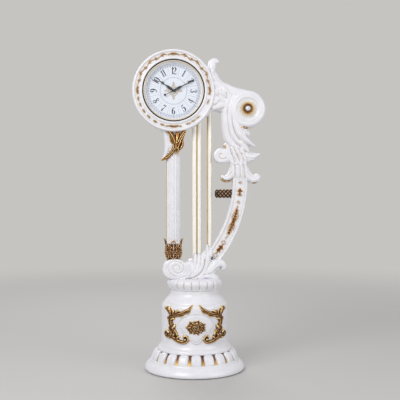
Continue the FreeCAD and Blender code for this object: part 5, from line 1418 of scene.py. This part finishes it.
# Flower and pearl in the volute
# A pressed gilt flower with three rows of thin petals is pinned in the volute's eye, and a glass pearl
# is glued into its middle. The petals are grown on rings of points round the eye.
flower_sizes = {
    "Petals": 13,
    "Outer Reach": 0.0375,
    "Petal Length": 0.0250,
    "Petal Width": 0.0105,
    "Petal Thick": 0.0042,
    "Outer Lift": 0.0036,
}
tree, sizes_in = node_tree("volute_petals", flower_sizes)
petal_size = vector(tree, sizes_in["Petal Length"], sizes_in["Petal Width"], sizes_in["Petal Thick"])
petal_block = {"Size": petal_size, "Vertices X": 4, "Vertices Y": 3, "Vertices Z": 2}
petal_block = add(tree, "GeometryNodeMeshCube", petal_block)
# Each petal is drawn in to a point at its outer end.
corner = add(tree, "ShaderNodeSeparateXYZ", {0: add(tree, "GeometryNodeInputPosition", {})}).outputs
pinch = ranged(tree, corner["X"], -0.013, 0.013, -0.1, -0.55)
pinch_way = vector(tree, y=calc(tree, "MULTIPLY", corner["Y"], pinch))
pinched = add(tree, "GeometryNodeSetPosition", {"Geometry": petal_block, "Offset": pinch_way})
petal = add(tree, "GeometryNodeSubdivisionSurface", {"Mesh": pinched, "Level": 2})
rows = []
for share, lift, tilt, turned_by in (
    (1.0, 1.0, 6.0, 0.0), (0.82, 2.0, 14.0, 13.8), (0.56, 2.8, 24.0, 5.0),
):
    reach = calc(tree, "MULTIPLY", sizes_in["Outer Reach"], share)
    circle = add(tree, "GeometryNodeMeshCircle", {"Vertices": sizes_in["Petals"], "Radius": reach})
    lean = vector(tree, y=math.radians(-tilt))
    leaned = add(tree, "GeometryNodeTransform", {"Geometry": petal, "Rotation": lean})
    rise = vector(tree, z=calc(tree, "MULTIPLY", sizes_in["Outer Lift"], lift))
    turn_round = vector(tree, z=math.radians(turned_by))
    row = {"Geometry": ringed(tree, circle, leaned), "Translation": rise, "Rotation": turn_round}
    rows.append(add(tree, "GeometryNodeTransform", row))


def upright(tree, rows, middle):
    """Joins rows that were laid flat and stands them up, so that they face the viewer at a middle."""
    whole = add(tree, "GeometryNodeJoinGeometry", {})
    for row in rows:
        put(tree, whole, {0: row})
    stood = {
        "Geometry": whole, "Translation": vector(tree, *middle),
        "Rotation": vector(tree, math.radians(90.0)),
    }
    return add(tree, "GeometryNodeTransform", stood)


set_flower = upright(tree, rows, (volute_x * mm, -0.0575, volute_z * mm))
# The gold is bright at the petals' tips, and the bole shows dark towards the pearl.
petal_gilding, petal_tree, petal_shader = new_material("pressed gilt petals with dark bole")
place = add(petal_tree, "ShaderNodeTexCoord", {})
eye = {"Location": (-volute_x * mm, 0.0, -volute_z * mm), "Scale": (1.0, 0.0, 1.0)}
from_eye = add(petal_tree, "ShaderNodeMapping", {"Vector": place.outputs["Object"], **eye})
eye_distance = add(petal_tree, "ShaderNodeVectorMath", {0: from_eye}, operation="LENGTH")
outward = ranged(petal_tree, eye_distance.outputs["Value"], 0.015, 0.044)
relief_mix = calc(petal_tree, "MULTIPLY_ADD", relief_of(petal_tree), 0.25, outward)
tone = ramp(petal_tree, relief_mix, (0.05, "#34180a"), (0.34, "#7c4a1c"), (0.56, "#cfa05c"), (0.85, "#f6e8c4"))
put(petal_tree, petal_shader, {"Base Color": tone, "Metallic": 0.5, "Roughness": 0.4})
petals = grown("volute_petals", tree, flower_sizes, set_flower, petal_gilding)
set_relief(petals, rounds=6)
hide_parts("volute_flower")
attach(petals, "clock_body")

cup_outline = [
    (0.5, -57), (15, -57), (20, -60), (21, -63), (19.5, -66), (17.0, -67.0), (15, -65.5), (0.5, -62),
]
cup = mesh_piece("pearl_cup", *roll(volute_x, volute_z, cup_outline[::-1], 72), petal_gilding)
set_relief(cup, rounds=4)
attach(cup, "clock_body")

# Glass pearl: a milky body with a soft nacre sheen that is strongest at a flat angle.
nacre, tree, shader = new_material("nacre coating on glass pearl")
tone = ramp(tree, noise(tree, grain_mm=16.0, detail=2.0), (0.3, "#cfd0d6"), (0.7, "#ebe9e6"))
put(tree, shader, {"Base Color": tone, "Roughness": 0.18, "Coat Weight": 0.8, "Coat Roughness": 0.06})
pearl_radius = 14.6
turns = [math.radians(degrees) for degrees in range(2, 179, 8)]
pearl_half = [(pearl_radius * math.sin(turn), -70.5 - pearl_radius * math.cos(turn)) for turn in turns]
pearl = mesh_piece("volute_pearl_smooth", *roll(volute_x, volute_z, pearl_half, 48), nacre)
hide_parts("volute_pearl")
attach(pearl, "clock_body")


# Drum
# The head of the clock: a heavy cast ring in front, with a channel between two rounded rims, and a
# plain shell behind it. The shell has the plinth's white lacquer, and the ring has that of the leaves.
drum_front_outline = profile(
    [(174.9, -38.5), (174.9, -69)],
    [(174.9, -69), (176.5, -71.2), (180, -72), (184.5, -71.2), (187.5, -68.6), (189.5, -66.6)],
    [(189.5, -66.6), (193, -65.8), (202.5, -65.4), (212, -65.8), (215.5, -66.6)],
    [(215.5, -66.6), (218, -69.6), (222, -71.8), (226, -71), (229.5, -66.5), (231, -60)],
    [(231, -60), (231, -34)],
    [(231, -34), (229.5, -31), (226, -30)],
    [(226, -30), (166, -30)],
    [(166, -30), (166, -38.5)],
    [(166, -38.5), (174.9, -38.5)],
)
drum_front = mesh_piece("drum_front_casting", *roll(
    drum_x, drum_z, drum_front_outline, 256,
), leaf_lacquer)
set_relief(drum_front, rounds=6)
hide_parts("drum_ring")
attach(drum_front, "clock_body")

shell_outline = profile(
    [(213, -30.5), (225, -30.5)],
    [(225, -30.5), (225, 54)],
    [(225, 54), (224, 58), (220.5, 60)],
    [(220.5, 60), (216, 60), (213.5, 58.5)],
    [(213.5, 58.5), (213, -30.5)],
)
shell = mesh_piece("drum_shell_casting", *roll(drum_x, drum_z, shell_outline, 256), smooth_lacquer)
set_relief(shell)
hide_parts("drum_shell")
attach(shell, "clock_body")


# Scrollwork of the drum
# A garland of gilt scrolls is pressed into the channel: a shell at the top and the bottom, a knot at
# each side and waves between them. The gold is worn, most of all on the lower right.
def on_drum(place):
    """Bends a flat garland round the drum: x is the way round from the top, z the way outwards."""
    turn = place[:, 0] / 202.5
    reach = 202.5 + place[:, 2]
    return np.stack([drum_x + reach * np.sin(turn), place[:, 1], drum_z + reach * np.cos(turn)], 1)


garland = []


def stroke(middle, side, rise, rows):
    """Adds a scroll of the garland from rows of degrees from a middle, millimetres out and half width."""
    around_mm = math.radians(1.0) * 202.5
    placed = [(
        (middle + side * turn) * around_mm, rise * out, w * 1.25, 4.2, -66.8,
    ) for turn, out, w in rows]
    garland.append(limb(placed, around=10, steps=4))


# Shells at the top and bottom
for middle, way, size in ((0.0, 1.0, 1.0), (180.0, -1.0, 1.35)):
    for petal in (-2, -1, 0, 1, 2):
        lean = petal * 2.3 * size
        stroke(middle, 1, way, [(0, -4, 2.2), (lean * 0.6, 2, 2.8), (lean, 8.5 - abs(petal) * 1.6, 1.9)])
    for side in (-1, 1):
        stroke(
            middle, side, way,
            [(2, -4, 2.4), (6 * size, 1, 3.0), (9 * size, -2, 2.6), (8 * size, -6, 1.6)],
        )
# Knots at the sides
for middle in (90.0, 270.0):
    for side in (-1, 1):
        stroke(middle, side, 1, [(0, -3, 2.6), (2.4, 3.5, 3.2), (4.6, -1, 2.8), (7.0, 4, 1.8)])
        stroke(middle, side, 1, [(1.0, 5, 2.2), (3.4, -4.5, 2.8), (6.4, -6, 1.6)])
    stroke(middle, 1, 1, [(-1, -6, 2.4), (0, 0, 4.0), (1, 6, 2.4)])
# A long wave over the upper half on each side, with a leaf and a small curl at every crest
wave_start = 11.0
wave_rows = []
for step in range(25):
    run = step * 2.95
    wave_rows.append((wave_start + run, 4.4 * math.sin(math.radians(run * 15.8)), 2.0 + 0.7 * (step % 2)))
for side in (-1, 1):
    stroke(0.0, side, 1, wave_rows)
    for wave in range(6):
        start = side * (wave_start + wave * 11.4)
        way = 1 if wave % 2 == 0 else -1
        stroke(start, side, way, [(2.2, 0.5, 1.8), (4.4, 6.8, 2.6), (7.6, 8.2, 1.4)])
        stroke(start, side, way, [(6.4, 4.6, 2.2), (8.4, -0.5, 2.2), (7.2, -4.4, 1.7), (5.2, -3.2, 1.2)])
# Separate tufts on the lower left, and thin ones on the lower right
for middle, size in (
    (256.5, 0.8), (246.5, 0.85), (235, 1), (223, 1.05), (210.5, 1.1), (198, 0.9), (156, 0.62),
    (147, 0.6), (138, 0.5), (108, 0.55),
):
    stroke(
        middle, 1, 1, [(-4.2, 3, 1.2), (-1.6, -2, 2.8 * size), (1.4, 2.5, 3.2 * size), (4.2, -2.5, 1.2)],
    )
    stroke(middle, 1, 1, [(-1.6, 5.5, 1.3), (0, 0.5, 2.6 * size), (1.8, -5.5, 1.3)])
# Worn gilding whose colour follows the relief: painted shade in the hollows, a painted highlight on the
# ridges.
garland_gilding = gilding("worn bronze gilding with painted shade and highlights", "#3c1f0c", "#744a26", "#ac8455", "#e4d0aa", -0.5, 1.15)
garland_piece = cast("drum_garland", garland, 1.4, garland_gilding, on_drum, 1, 7)
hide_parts("drum_scrollwork")
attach(garland_piece, "clock_body")


# Back of the drum
# A round board of lacquered fibreboard is screwed into the shell. A small door in it hangs on a steel
# pin, is held by a magnet, and gives the hand its way to the battery and the setting knob.
plain_finish("back_panel", "white coated fibreboard", "#d9d8d4", "#e6e5e1", 0.55, grain_mm=3.0, bump=0.15)
plain_finish("back_door", "white coated door board", "#dddcd8", "#e9e8e5", 0.5, grain_mm=3.0, bump=0.15)
plain_finish(
    "door_magnet", "nickel plated magnet", "#9ea1a4", "#bcbfc1", 0.3, metallic=1.0, grain_mm=5.0,
    bump=0.1,
)
plain_finish(
    "case_screws", "zinc plated screws", "#a9acae", "#cfd1d2", 0.35, metallic=1.0, grain_mm=3.0,
    bump=0.2,
)


# Bezel, glass and carrier of the dial
# A pressed metal bezel with a dark bronze outer bead and a champagne inner lip holds a domed glass.
# Behind it a white moulded ring slopes inwards to the dial.
turned_bronze, tree, shader = new_material("dark bronze plated bead")
tone = ramp(tree, noise(tree, grain_mm=3.0, detail=3.0), (0.3, "#1d1612"), (0.7, "#352820"))
put(tree, shader, {"Base Color": tone, "Metallic": 0.7, "Roughness": 0.34})

champagne_lip, tree, shader = new_material("champagne anodised lip")
tone = ramp(tree, noise(tree, grain_mm=3.0, detail=3.0), (0.3, "#d2c6b2"), (0.7, "#e6ddcc"))
put(tree, shader, {"Base Color": tone, "Metallic": 0.25, "Roughness": 0.4})

dark_bead_line = curve(
    [
        (174.4, -59.2), (174.5, -65), (173.8, -68.6), (172, -70), (170, -69.4), (168.9, -67),
        (168.7, -60),
    ], 6
)
dark_bead = mesh_piece("bezel_dark_bead", *roll(drum_x, drum_z, dark_bead_line, 256), turned_bronze)
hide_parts("bezel")
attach(dark_bead, "clock_body")

pale_lip_line = curve(
    [
        (168.6, -59.2), (168.6, -67), (166.6, -68.8), (164, -67.8), (161.6, -65), (160.8, -61),
        (160.8, -59.2),
    ], 5
)
pale_lip = mesh_piece("bezel_champagne_lip", *roll(drum_x, drum_z, pale_lip_line, 256), champagne_lip)
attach(pale_lip, "clock_body")

# Clear float glass, 2 mm thick and sagged to a dome: nearly all light passes, with a faint cool tint.
clear_glass, tree, shader = new_material("clear domed float glass")
wavy = dents(tree, noise(tree, grain_mm=60.0, detail=1.0), 0.1, 0.0003)
put(tree, shader, {
    "Base Color": colour("#eef3f6"), "Normal": wavy, "Roughness": 0.04, "IOR": 1.52, "Alpha": 0.04,
})
glass_outline = [
    (0.3, -70.4), (40, -70.0), (80, -68.9), (120, -67.1), (150, -65.3), (163.0, -64.4), (166.0, -64.2),
]
glass_outline += [(166.0, -62.4), (150, -63.4), (120, -65.2), (80, -67.0), (40, -68.1), (0.3, -68.5)]
glass = mesh_piece("domed_glass", *roll(drum_x, drum_z, glass_outline, 128), clear_glass)
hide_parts("dial_glass")
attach(glass, "clock_body")

slope_lacquer = white_lacquer("satin white moulded ring", 0.5, 2.0, 0.2)
carrier_outline = profile(
    [(174.3, -58.8), (160.6, -58.8)],
    [(160.6, -58.8), (158.6, -57.6), (157.6, -54)],
    [(157.6, -54), (152.6, -44)],
    [(152.6, -44), (151.8, -42.2)],
    [(151.8, -42.2), (164, -42.2)],
    [(164, -42.2), (164, -39.2)],
    [(164, -39.2), (174.3, -39.2)],
    [(174.3, -39.2), (174.3, -58.8)],
)
carrier = mesh_piece("dial_carrier_ring", *roll(drum_x, drum_z, carrier_outline, 256), slope_lacquer)
set_relief(carrier)
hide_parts("insert_ring")
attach(carrier, "clock_body")


# Dial
# A printed card on board: a cool white ground with soft rays, hand-drawn numerals of thick and thin
# strokes, a ring of minute dots, and a tan ornament round the middle.
dial_card, tree, shader = new_material("printed dial card")
place = add(tree, "ShaderNodeTexCoord", {}).outputs["Object"]
centred = add(tree, "ShaderNodeMapping", {"Vector": place, "Location": (-drum_x * mm, 0.0, -drum_z * mm)})
apart = add(tree, "ShaderNodeSeparateXYZ", {0: centred}).outputs
turn_round = calc(tree, "ARCTAN2", apart["X"], apart["Z"])
ray_wave = calc(tree, "SINE", calc(tree, "MULTIPLY", turn_round, 60.0))
reach = add(tree, "ShaderNodeVectorMath", {0: centred}, operation="LENGTH").outputs["Value"]
ray_band = ranged(tree, reach, 0.080, 0.086, 0.0, 0.5)
ray_tone = calc(tree, "ADD", calc(tree, "MULTIPLY", ray_wave, ray_band), 0.5)
ground = ramp(tree, ray_tone, (0.0, "#d6dbe6"), (0.5, "#e6eaf3"), (1.0, "#eef1f8"))
# A band of grey-blue under the minute dots is painted shade from the bezel and the ring that slopes over the
# dial's edge.
rim_shade_reach = ranged(tree, reach, 0.130, 0.160)
band = ramp(tree, rim_shade_reach, (0.30, "#ffffff"), (0.42, "#e8eaee"), (0.72, "#e4e7ec"), (0.82, "#f6f7f8"))
tinted = add(tree, "ShaderNodeMix", {0: 1.0, 6: ground, 7: band}, data_type="RGBA", blend_type="MULTIPLY")
put(tree, shader, {"Base Color": tinted.outputs[2], "Roughness": 0.6})

dial_outline = [
    (4.2, -42.0), (60, -42.0), (110, -42.0), (150, -42.0), (162.6, -42.0), (162.8, -41.6),
    (162.8, -41.2),
]
dial_outline += [(162.4, -41.0), (110, -41.0), (60, -41.0), (4.2, -41.0)]
dial = mesh_piece("dial_card", *roll(drum_x, drum_z, dial_outline, 180), dial_card)
dial.data.polygons.foreach_set("use_smooth", [False] * len(dial.data.polygons))
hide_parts("dial_plate")
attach(dial, "clock_body")

# Strokes of the figures, each from rows of x, z and half width in hundredths of the figure's height.
figure_strokes = {
    1: [[(3, 50, 5), (3, 0, 6.2), (3, -46, 5)], [(-13, 33, 1.4), (-4, 38, 2.6), (3, 47, 4)]],
    2: [
        [
            (-19, 25, 5.5), (-17, 37, 3), (-4, 47, 2.4), (11, 43, 5.2), (17, 27, 7.6), (11, 7, 5.8),
            (-3, -13, 3), (-16, -33, 2), (-21, -45, 2.6),
        ],
        [(-21, -44, 2.6), (-10, -40, 4), (5, -46, 5.6), (17, -44, 3.6), (23, -32, 1.5)],
    ],
    3: [
        [
            (-18, 30, 5), (-14, 42, 2.5), (-2, 48, 2.5), (11, 42, 5), (14, 27, 6.5), (6, 11, 3.5),
            (-5, 5, 2),
        ],
        [
            (-5, 5, 2), (9, -1, 4), (17, -18, 7.5), (11, -38, 5.5), (-3, -47, 2.5), (-15, -41, 2.5),
            (-20, -30, 5),
        ],
    ],
    4: [
        [(6, 48, 2), (-8, 15, 2), (-24, -14, 2)],
        [(-25, -17, 2), (0, -17, 2), (24, -17, 2)],
        [(8, 46, 4.5), (8, 0, 6.4), (8, -46, 5)],
    ],
    5: [
        [(-13, 45, 3.5), (2, 42, 4.5), (18, 48, 2)],
        [(-13, 46, 1.8), (-15, 25, 1.8), (-17, 6, 1.8)],
        [
            (-17, 5, 1.8), (-5, 14, 2.5), (10, 8, 5.5), (17, -14, 7.8), (11, -37, 5.5), (-4, -47, 2.5),
            (-16, -41, 2.5), (-20, -31, 5),
        ],
    ],
    6: [
        [
            (15, 39, 4.5), (8, 47, 2), (-4, 42, 3.5), (-15, 20, 6.5), (-19, -8, 7.5), (-15, -32, 6),
            (-3, -47, 2.2), (10, -41, 4.5), (17, -22, 7), (11, -2, 4.5), (0, 6, 2), (-12, -2, 2),
            (-17, -12, 2),
        ],
    ],
    7: [
        [(-21, 29, 1.5), (-18, 41, 3.5), (-6, 44, 5.5), (8, 40, 4.5), (22, 46, 2)],
        [(21, 45, 2), (8, 16, 2.5), (-3, -12, 5), (-7, -32, 6.8), (-6, -44, 6)],
    ],
    8: [
        [
            (0, 47, 2), (-13, 40, 4), (-15, 24, 5.5), (-4, 8, 5.5), (10, -8, 7), (17, -26, 6.5),
            (10, -42, 3.5), (-2, -47, 2), (-15, -40, 3.5), (-18, -24, 4.5), (-10, -6, 3), (3, 8, 2),
            (12, 22, 2.5), (11, 39, 3), (0, 47, 2),
        ],
    ],
    0: [
        [
            (0, 47, 2), (-13, 36, 5), (-18, 0, 7.5), (-13, -36, 5), (0, -47, 2), (13, -36, 5),
            (18, 0, 7.5), (13, 36, 5), (0, 47, 2),
        ],
    ],
}
figure_strokes[9] = [[(-x, -z, w) for x, z, w in figure_strokes[6][0]]]
figure_scale = 39.0 / 100
figure_ring = 112.6


def clockwise(side, up, degrees):
    """Where a spot of the dial comes to when it is turned clockwise round the middle."""
    turn = math.radians(degrees)
    x = drum_x + side * math.cos(turn) + up * math.sin(turn)
    return x, drum_z - side * math.sin(turn) + up * math.cos(turn)


def printed(rows, degrees=0.0, out=0.0, scale=1.0, bold=1.0):
    """Ink on the dial: a stroke of rows x, z, half width, moved out from the middle and turned."""
    placed = []
    for x, z, w in rows:
        placed.append((
            *clockwise(x * scale, z * scale + out, degrees), w * abs(scale) * bold, 0.2, -42.1,
        ))
    return limb(placed, power=4.0, around=8, steps=4)


figure_parts = []
for hour in range(1, 13):
    shifts = {10: (-20, 19), 11: (-19, 13), 12: (-17, 17)}.get(hour, (0,))
    # The figures of the lower half are turned round once more, so that they read upright.
    scale = -figure_scale if 4 <= hour <= 8 else figure_scale
    for character, shift in zip(str(hour), shifts):
        for rows in figure_strokes[int(character)]:
            moved_rows = [(x + shift, z, w) for x, z, w in rows]
            figure_parts.append(printed(moved_rows, hour * 30.0, figure_ring, scale, bold=1.3))
# Screen printed slate ink: matt, with a slight unevenness.
slate_ink = plain_finish(
    "", "screen printed slate ink", "#2b303d", "#3a4050", 0.65, grain_mm=3.0, bump=0.05,
)
slate_ink.node_tree.nodes["Principled BSDF"].inputs["Specular IOR Level"].default_value = 0.2
figures = mesh_piece("dial_numerals", *joined(figure_parts), slate_ink)
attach(figures, "clock_body")

# Thin rings and rays between the numerals
line_ink = plain_finish(
    "", "screen printed grey ink", "#9aa3b5", "#a9b1c1", 0.65, grain_mm=3.0, bump=0.05,
)
line_parts = [
    roll(drum_x, drum_z, [(r - w, -42.0), (r - w, -42.25), (r + w, -42.25), (r + w, -42.0)], 160)
    for r, w in ((76.0, 0.8), (73.2, 0.3), (139.5, 0.35), (150.2, 0.4))
]
for hour in range(12):
    line_parts.append(printed([(0, 84, 0.35), (0, 110, 0.55), (0, 136, 0.35)], hour * 30.0 + 15.0))
lines = mesh_piece("dial_lines", *joined(line_parts), line_ink)
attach(lines, "clock_body")

# Minute dots: sixty printed spots, with a larger one at every hour.
dot_sizes = {
    "Dots": 60, "Hour Dots": 12, "Ring Radius": 0.1448, "Dot Radius": 0.00125, "Hour Radius": 0.0022,
    "Ink": 0.0003,
}
tree, sizes_in = node_tree("minute_dots", dot_sizes)
dot_rows = []
for count_name, radius_name in (("Dots", "Dot Radius"), ("Hour Dots", "Hour Radius")):
    spot = {"Vertices": 10, "Radius": sizes_in[radius_name], "Depth": sizes_in["Ink"]}
    spot = add(tree, "GeometryNodeMeshCylinder", spot)
    circle = {"Vertices": sizes_in[count_name], "Radius": sizes_in["Ring Radius"]}
    circle = add(tree, "GeometryNodeMeshCircle", circle)
    dot_rows.append(add(tree, "GeometryNodeInstanceOnPoints", {"Points": circle, "Instance": spot}))
placed_dots = upright(tree, dot_rows, (drum_x * mm, -0.0421, drum_z * mm))
dots = grown("dial_minute_dots", tree, dot_sizes, placed_dots, slate_ink)
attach(dots, "clock_body")

# The tan ornament: four leafed arms and four smaller ones between them.
ornament_parts = []
for quarter in range(4):
    degrees = quarter * 90.0
    for side in (-1, 1):
        for rows in (
            [(side * 1, 12, 0.8), (side * 7, 20, 1.5), (side * 5, 28, 1.6), (side * 1, 30, 0.8)],
            [(side * 1, 31, 0.8), (side * 6, 34, 1.4), (side * 7, 40, 1.3), (side * 3, 41, 0.8)],
            [(side * 1, 40, 0.7), (side * 3.5, 45, 1.2), (0, 51, 0.7)],
            [(side * 8, 14, 0.7), (side * 12, 22, 1.3), (side * 11, 29, 0.8)],
        ):
            ornament_parts.append(printed(rows, degrees))
    ornament_parts.append(printed([(0, 10, 0.8), (0, 24, 1.7), (0, 38, 1.2), (0, 50, 0.7)], degrees))
    ornament_parts.append(printed([(0, 10, 0.7), (0, 22, 1.6), (0, 33, 0.7)], degrees + 45.0))
    ornament_parts.append(printed([(-5, 24, 0.6), (0, 28, 1.2), (5, 24, 0.6)], degrees + 45.0))
# Screen printed tan ink in two tones, which lie a little unevenly.
tan_ink = plain_finish("", "screen printed tan ink", "#a98e68", "#bda57f", 0.65, grain_mm=4.0, bump=0.05)
ornament = mesh_piece("dial_ornament", *joined(ornament_parts), tan_ink)
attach(ornament, "clock_body")


# Hands
# Stamped and black lacquered hands with two leaf-shaped swellings each, pressed on the pipes of the
# movement. The second hand has a disc on its tail.
black_lacquer, tree, shader = new_material("black lacquered stamped brass")
tone = ramp(tree, noise(tree, grain_mm=4.0, detail=2.0), (0.3, "#060709"), (0.7, "#0e0f13"))
put(tree, shader, {"Base Color": tone, "Roughness": 0.5, "Specular IOR Level": 0.12})


def hand(name, degrees, y, rows, extra=()):
    """A hand that lies in one plane, from rows of reach and half width, turned clockwise."""
    parts = [
        limb([(0, reach, 1.15 * w, 0.45) for reach, w in rows], power=2.4, around=12, steps=6),
        limb([(-1.2, 0, 5.6, 0.6), (1.2, 0, 5.6, 0.6)], power=3, around=20, steps=4),
        *extra,
    ]
    points, faces = joined(parts)
    points[:, 0], points[:, 2] = clockwise(points[:, 0].copy(), points[:, 2].copy(), degrees)
    points[:, 1] += y
    return mesh_piece(name, points, faces, black_lacquer)


hour_rows = [
    (-12, 2.4), (-4, 3.6), (6, 5.0), (18, 5.8), (34, 7.2), (46, 4.2), (56, 2.0), (64, 2.6), (76, 5.8),
    (86, 2.8), (97, 0.6),
]
hour_hand = hand("hour_hand_stamped", 305.0, -48.4, hour_rows)
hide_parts("hour_hand")
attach(hour_hand, "hours")

minute_rows = [
    (-14, 2.2), (-4, 3.4), (8, 4.6), (22, 5.4), (36, 6.2), (50, 3.4), (62, 1.7), (86, 1.6), (96, 2.2),
    (107, 5.2), (118, 2.6), (128, 0.6),
]
minute_hand = hand("minute_hand_stamped", 61.0, -50.8, minute_rows)
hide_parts("minute_hand")
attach(minute_hand, "minutes")

tail_disc = limb([(-1.0, -54.0, 6.0, 0.5), (1.0, -54.0, 6.0, 0.5)], power=3.0, around=24, steps=4)
second_hand = hand(
    "second_hand_stamped", 63.0, -53.2, [
        (-54, 1.4), (-20, 1.4), (0, 1.6), (60, 1.1), (130, 0.5),
    ], extra=[tail_disc]
)
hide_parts("second_hand")
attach(second_hand, "seconds")


# Quartz movement
# A moulded movement is clamped behind the dial by its brass nut. Its case, wheels, coil and battery
# are the ones of the CAD frame, and only need their finishes.
plain_finish(
    "movement_nut", "turned brass nut", "#b08d4a", "#cbaa66", 0.3, metallic=1.0, grain_mm=3.0, bump=0.1,
)
# Black polystyrene with a fine spark-eroded texture from its mould.
plain_finish(
    "movement_case movement_cover",
    "black moulded polystyrene", "#16171a", "#222327", 0.5, grain_mm=1.5, bump=0.4,
)
plain_finish("setting_knob", "black moulded knob", "#1a1b1e", "#28292d", 0.45, grain_mm=1.5, bump=0.3)
# White acetal, slightly translucent and smooth.
plain_finish(
    "seconds_wheel third_wheel centre_wheel minute_wheel hour_wheel stepping_wheel",
    "white moulded acetal", "#dfe0dc", "#ecece8", 0.4, grain_mm=4.0, bump=0.1,
)
plain_finish(
    "rotor", "moulded magnet rotor", "#3a3a3d", "#505055", 0.45, metallic=0.3, grain_mm=2.0, bump=0.2,
)
plain_finish(
    "battery", "printed steel battery jacket", "#8b6c2f", "#a8853f", 0.35, metallic=0.6, grain_mm=8.0,
    bump=0.05,
)
plain_finish(
    "battery_contacts", "nickel plated spring steel", "#b4b6b7", "#d0d2d2", 0.28, metallic=1.0,
    grain_mm=3.0, bump=0.1,
)
plain_finish(
    "motor_coil", "enamelled copper winding", "#8a3f1c", "#b9653a", 0.35, metallic=0.8, grain_mm=0.6,
    bump=0.5,
)
plain_finish(
    "motor_stator", "punched transformer steel", "#7d8083", "#96999c", 0.4, metallic=0.9, grain_mm=2.0,
    bump=0.2,
)
plain_finish(
    "circuit_board", "green solder mask on glass fibre", "#1f5a36", "#2a6d44", 0.4, grain_mm=1.5,
    bump=0.2,
)
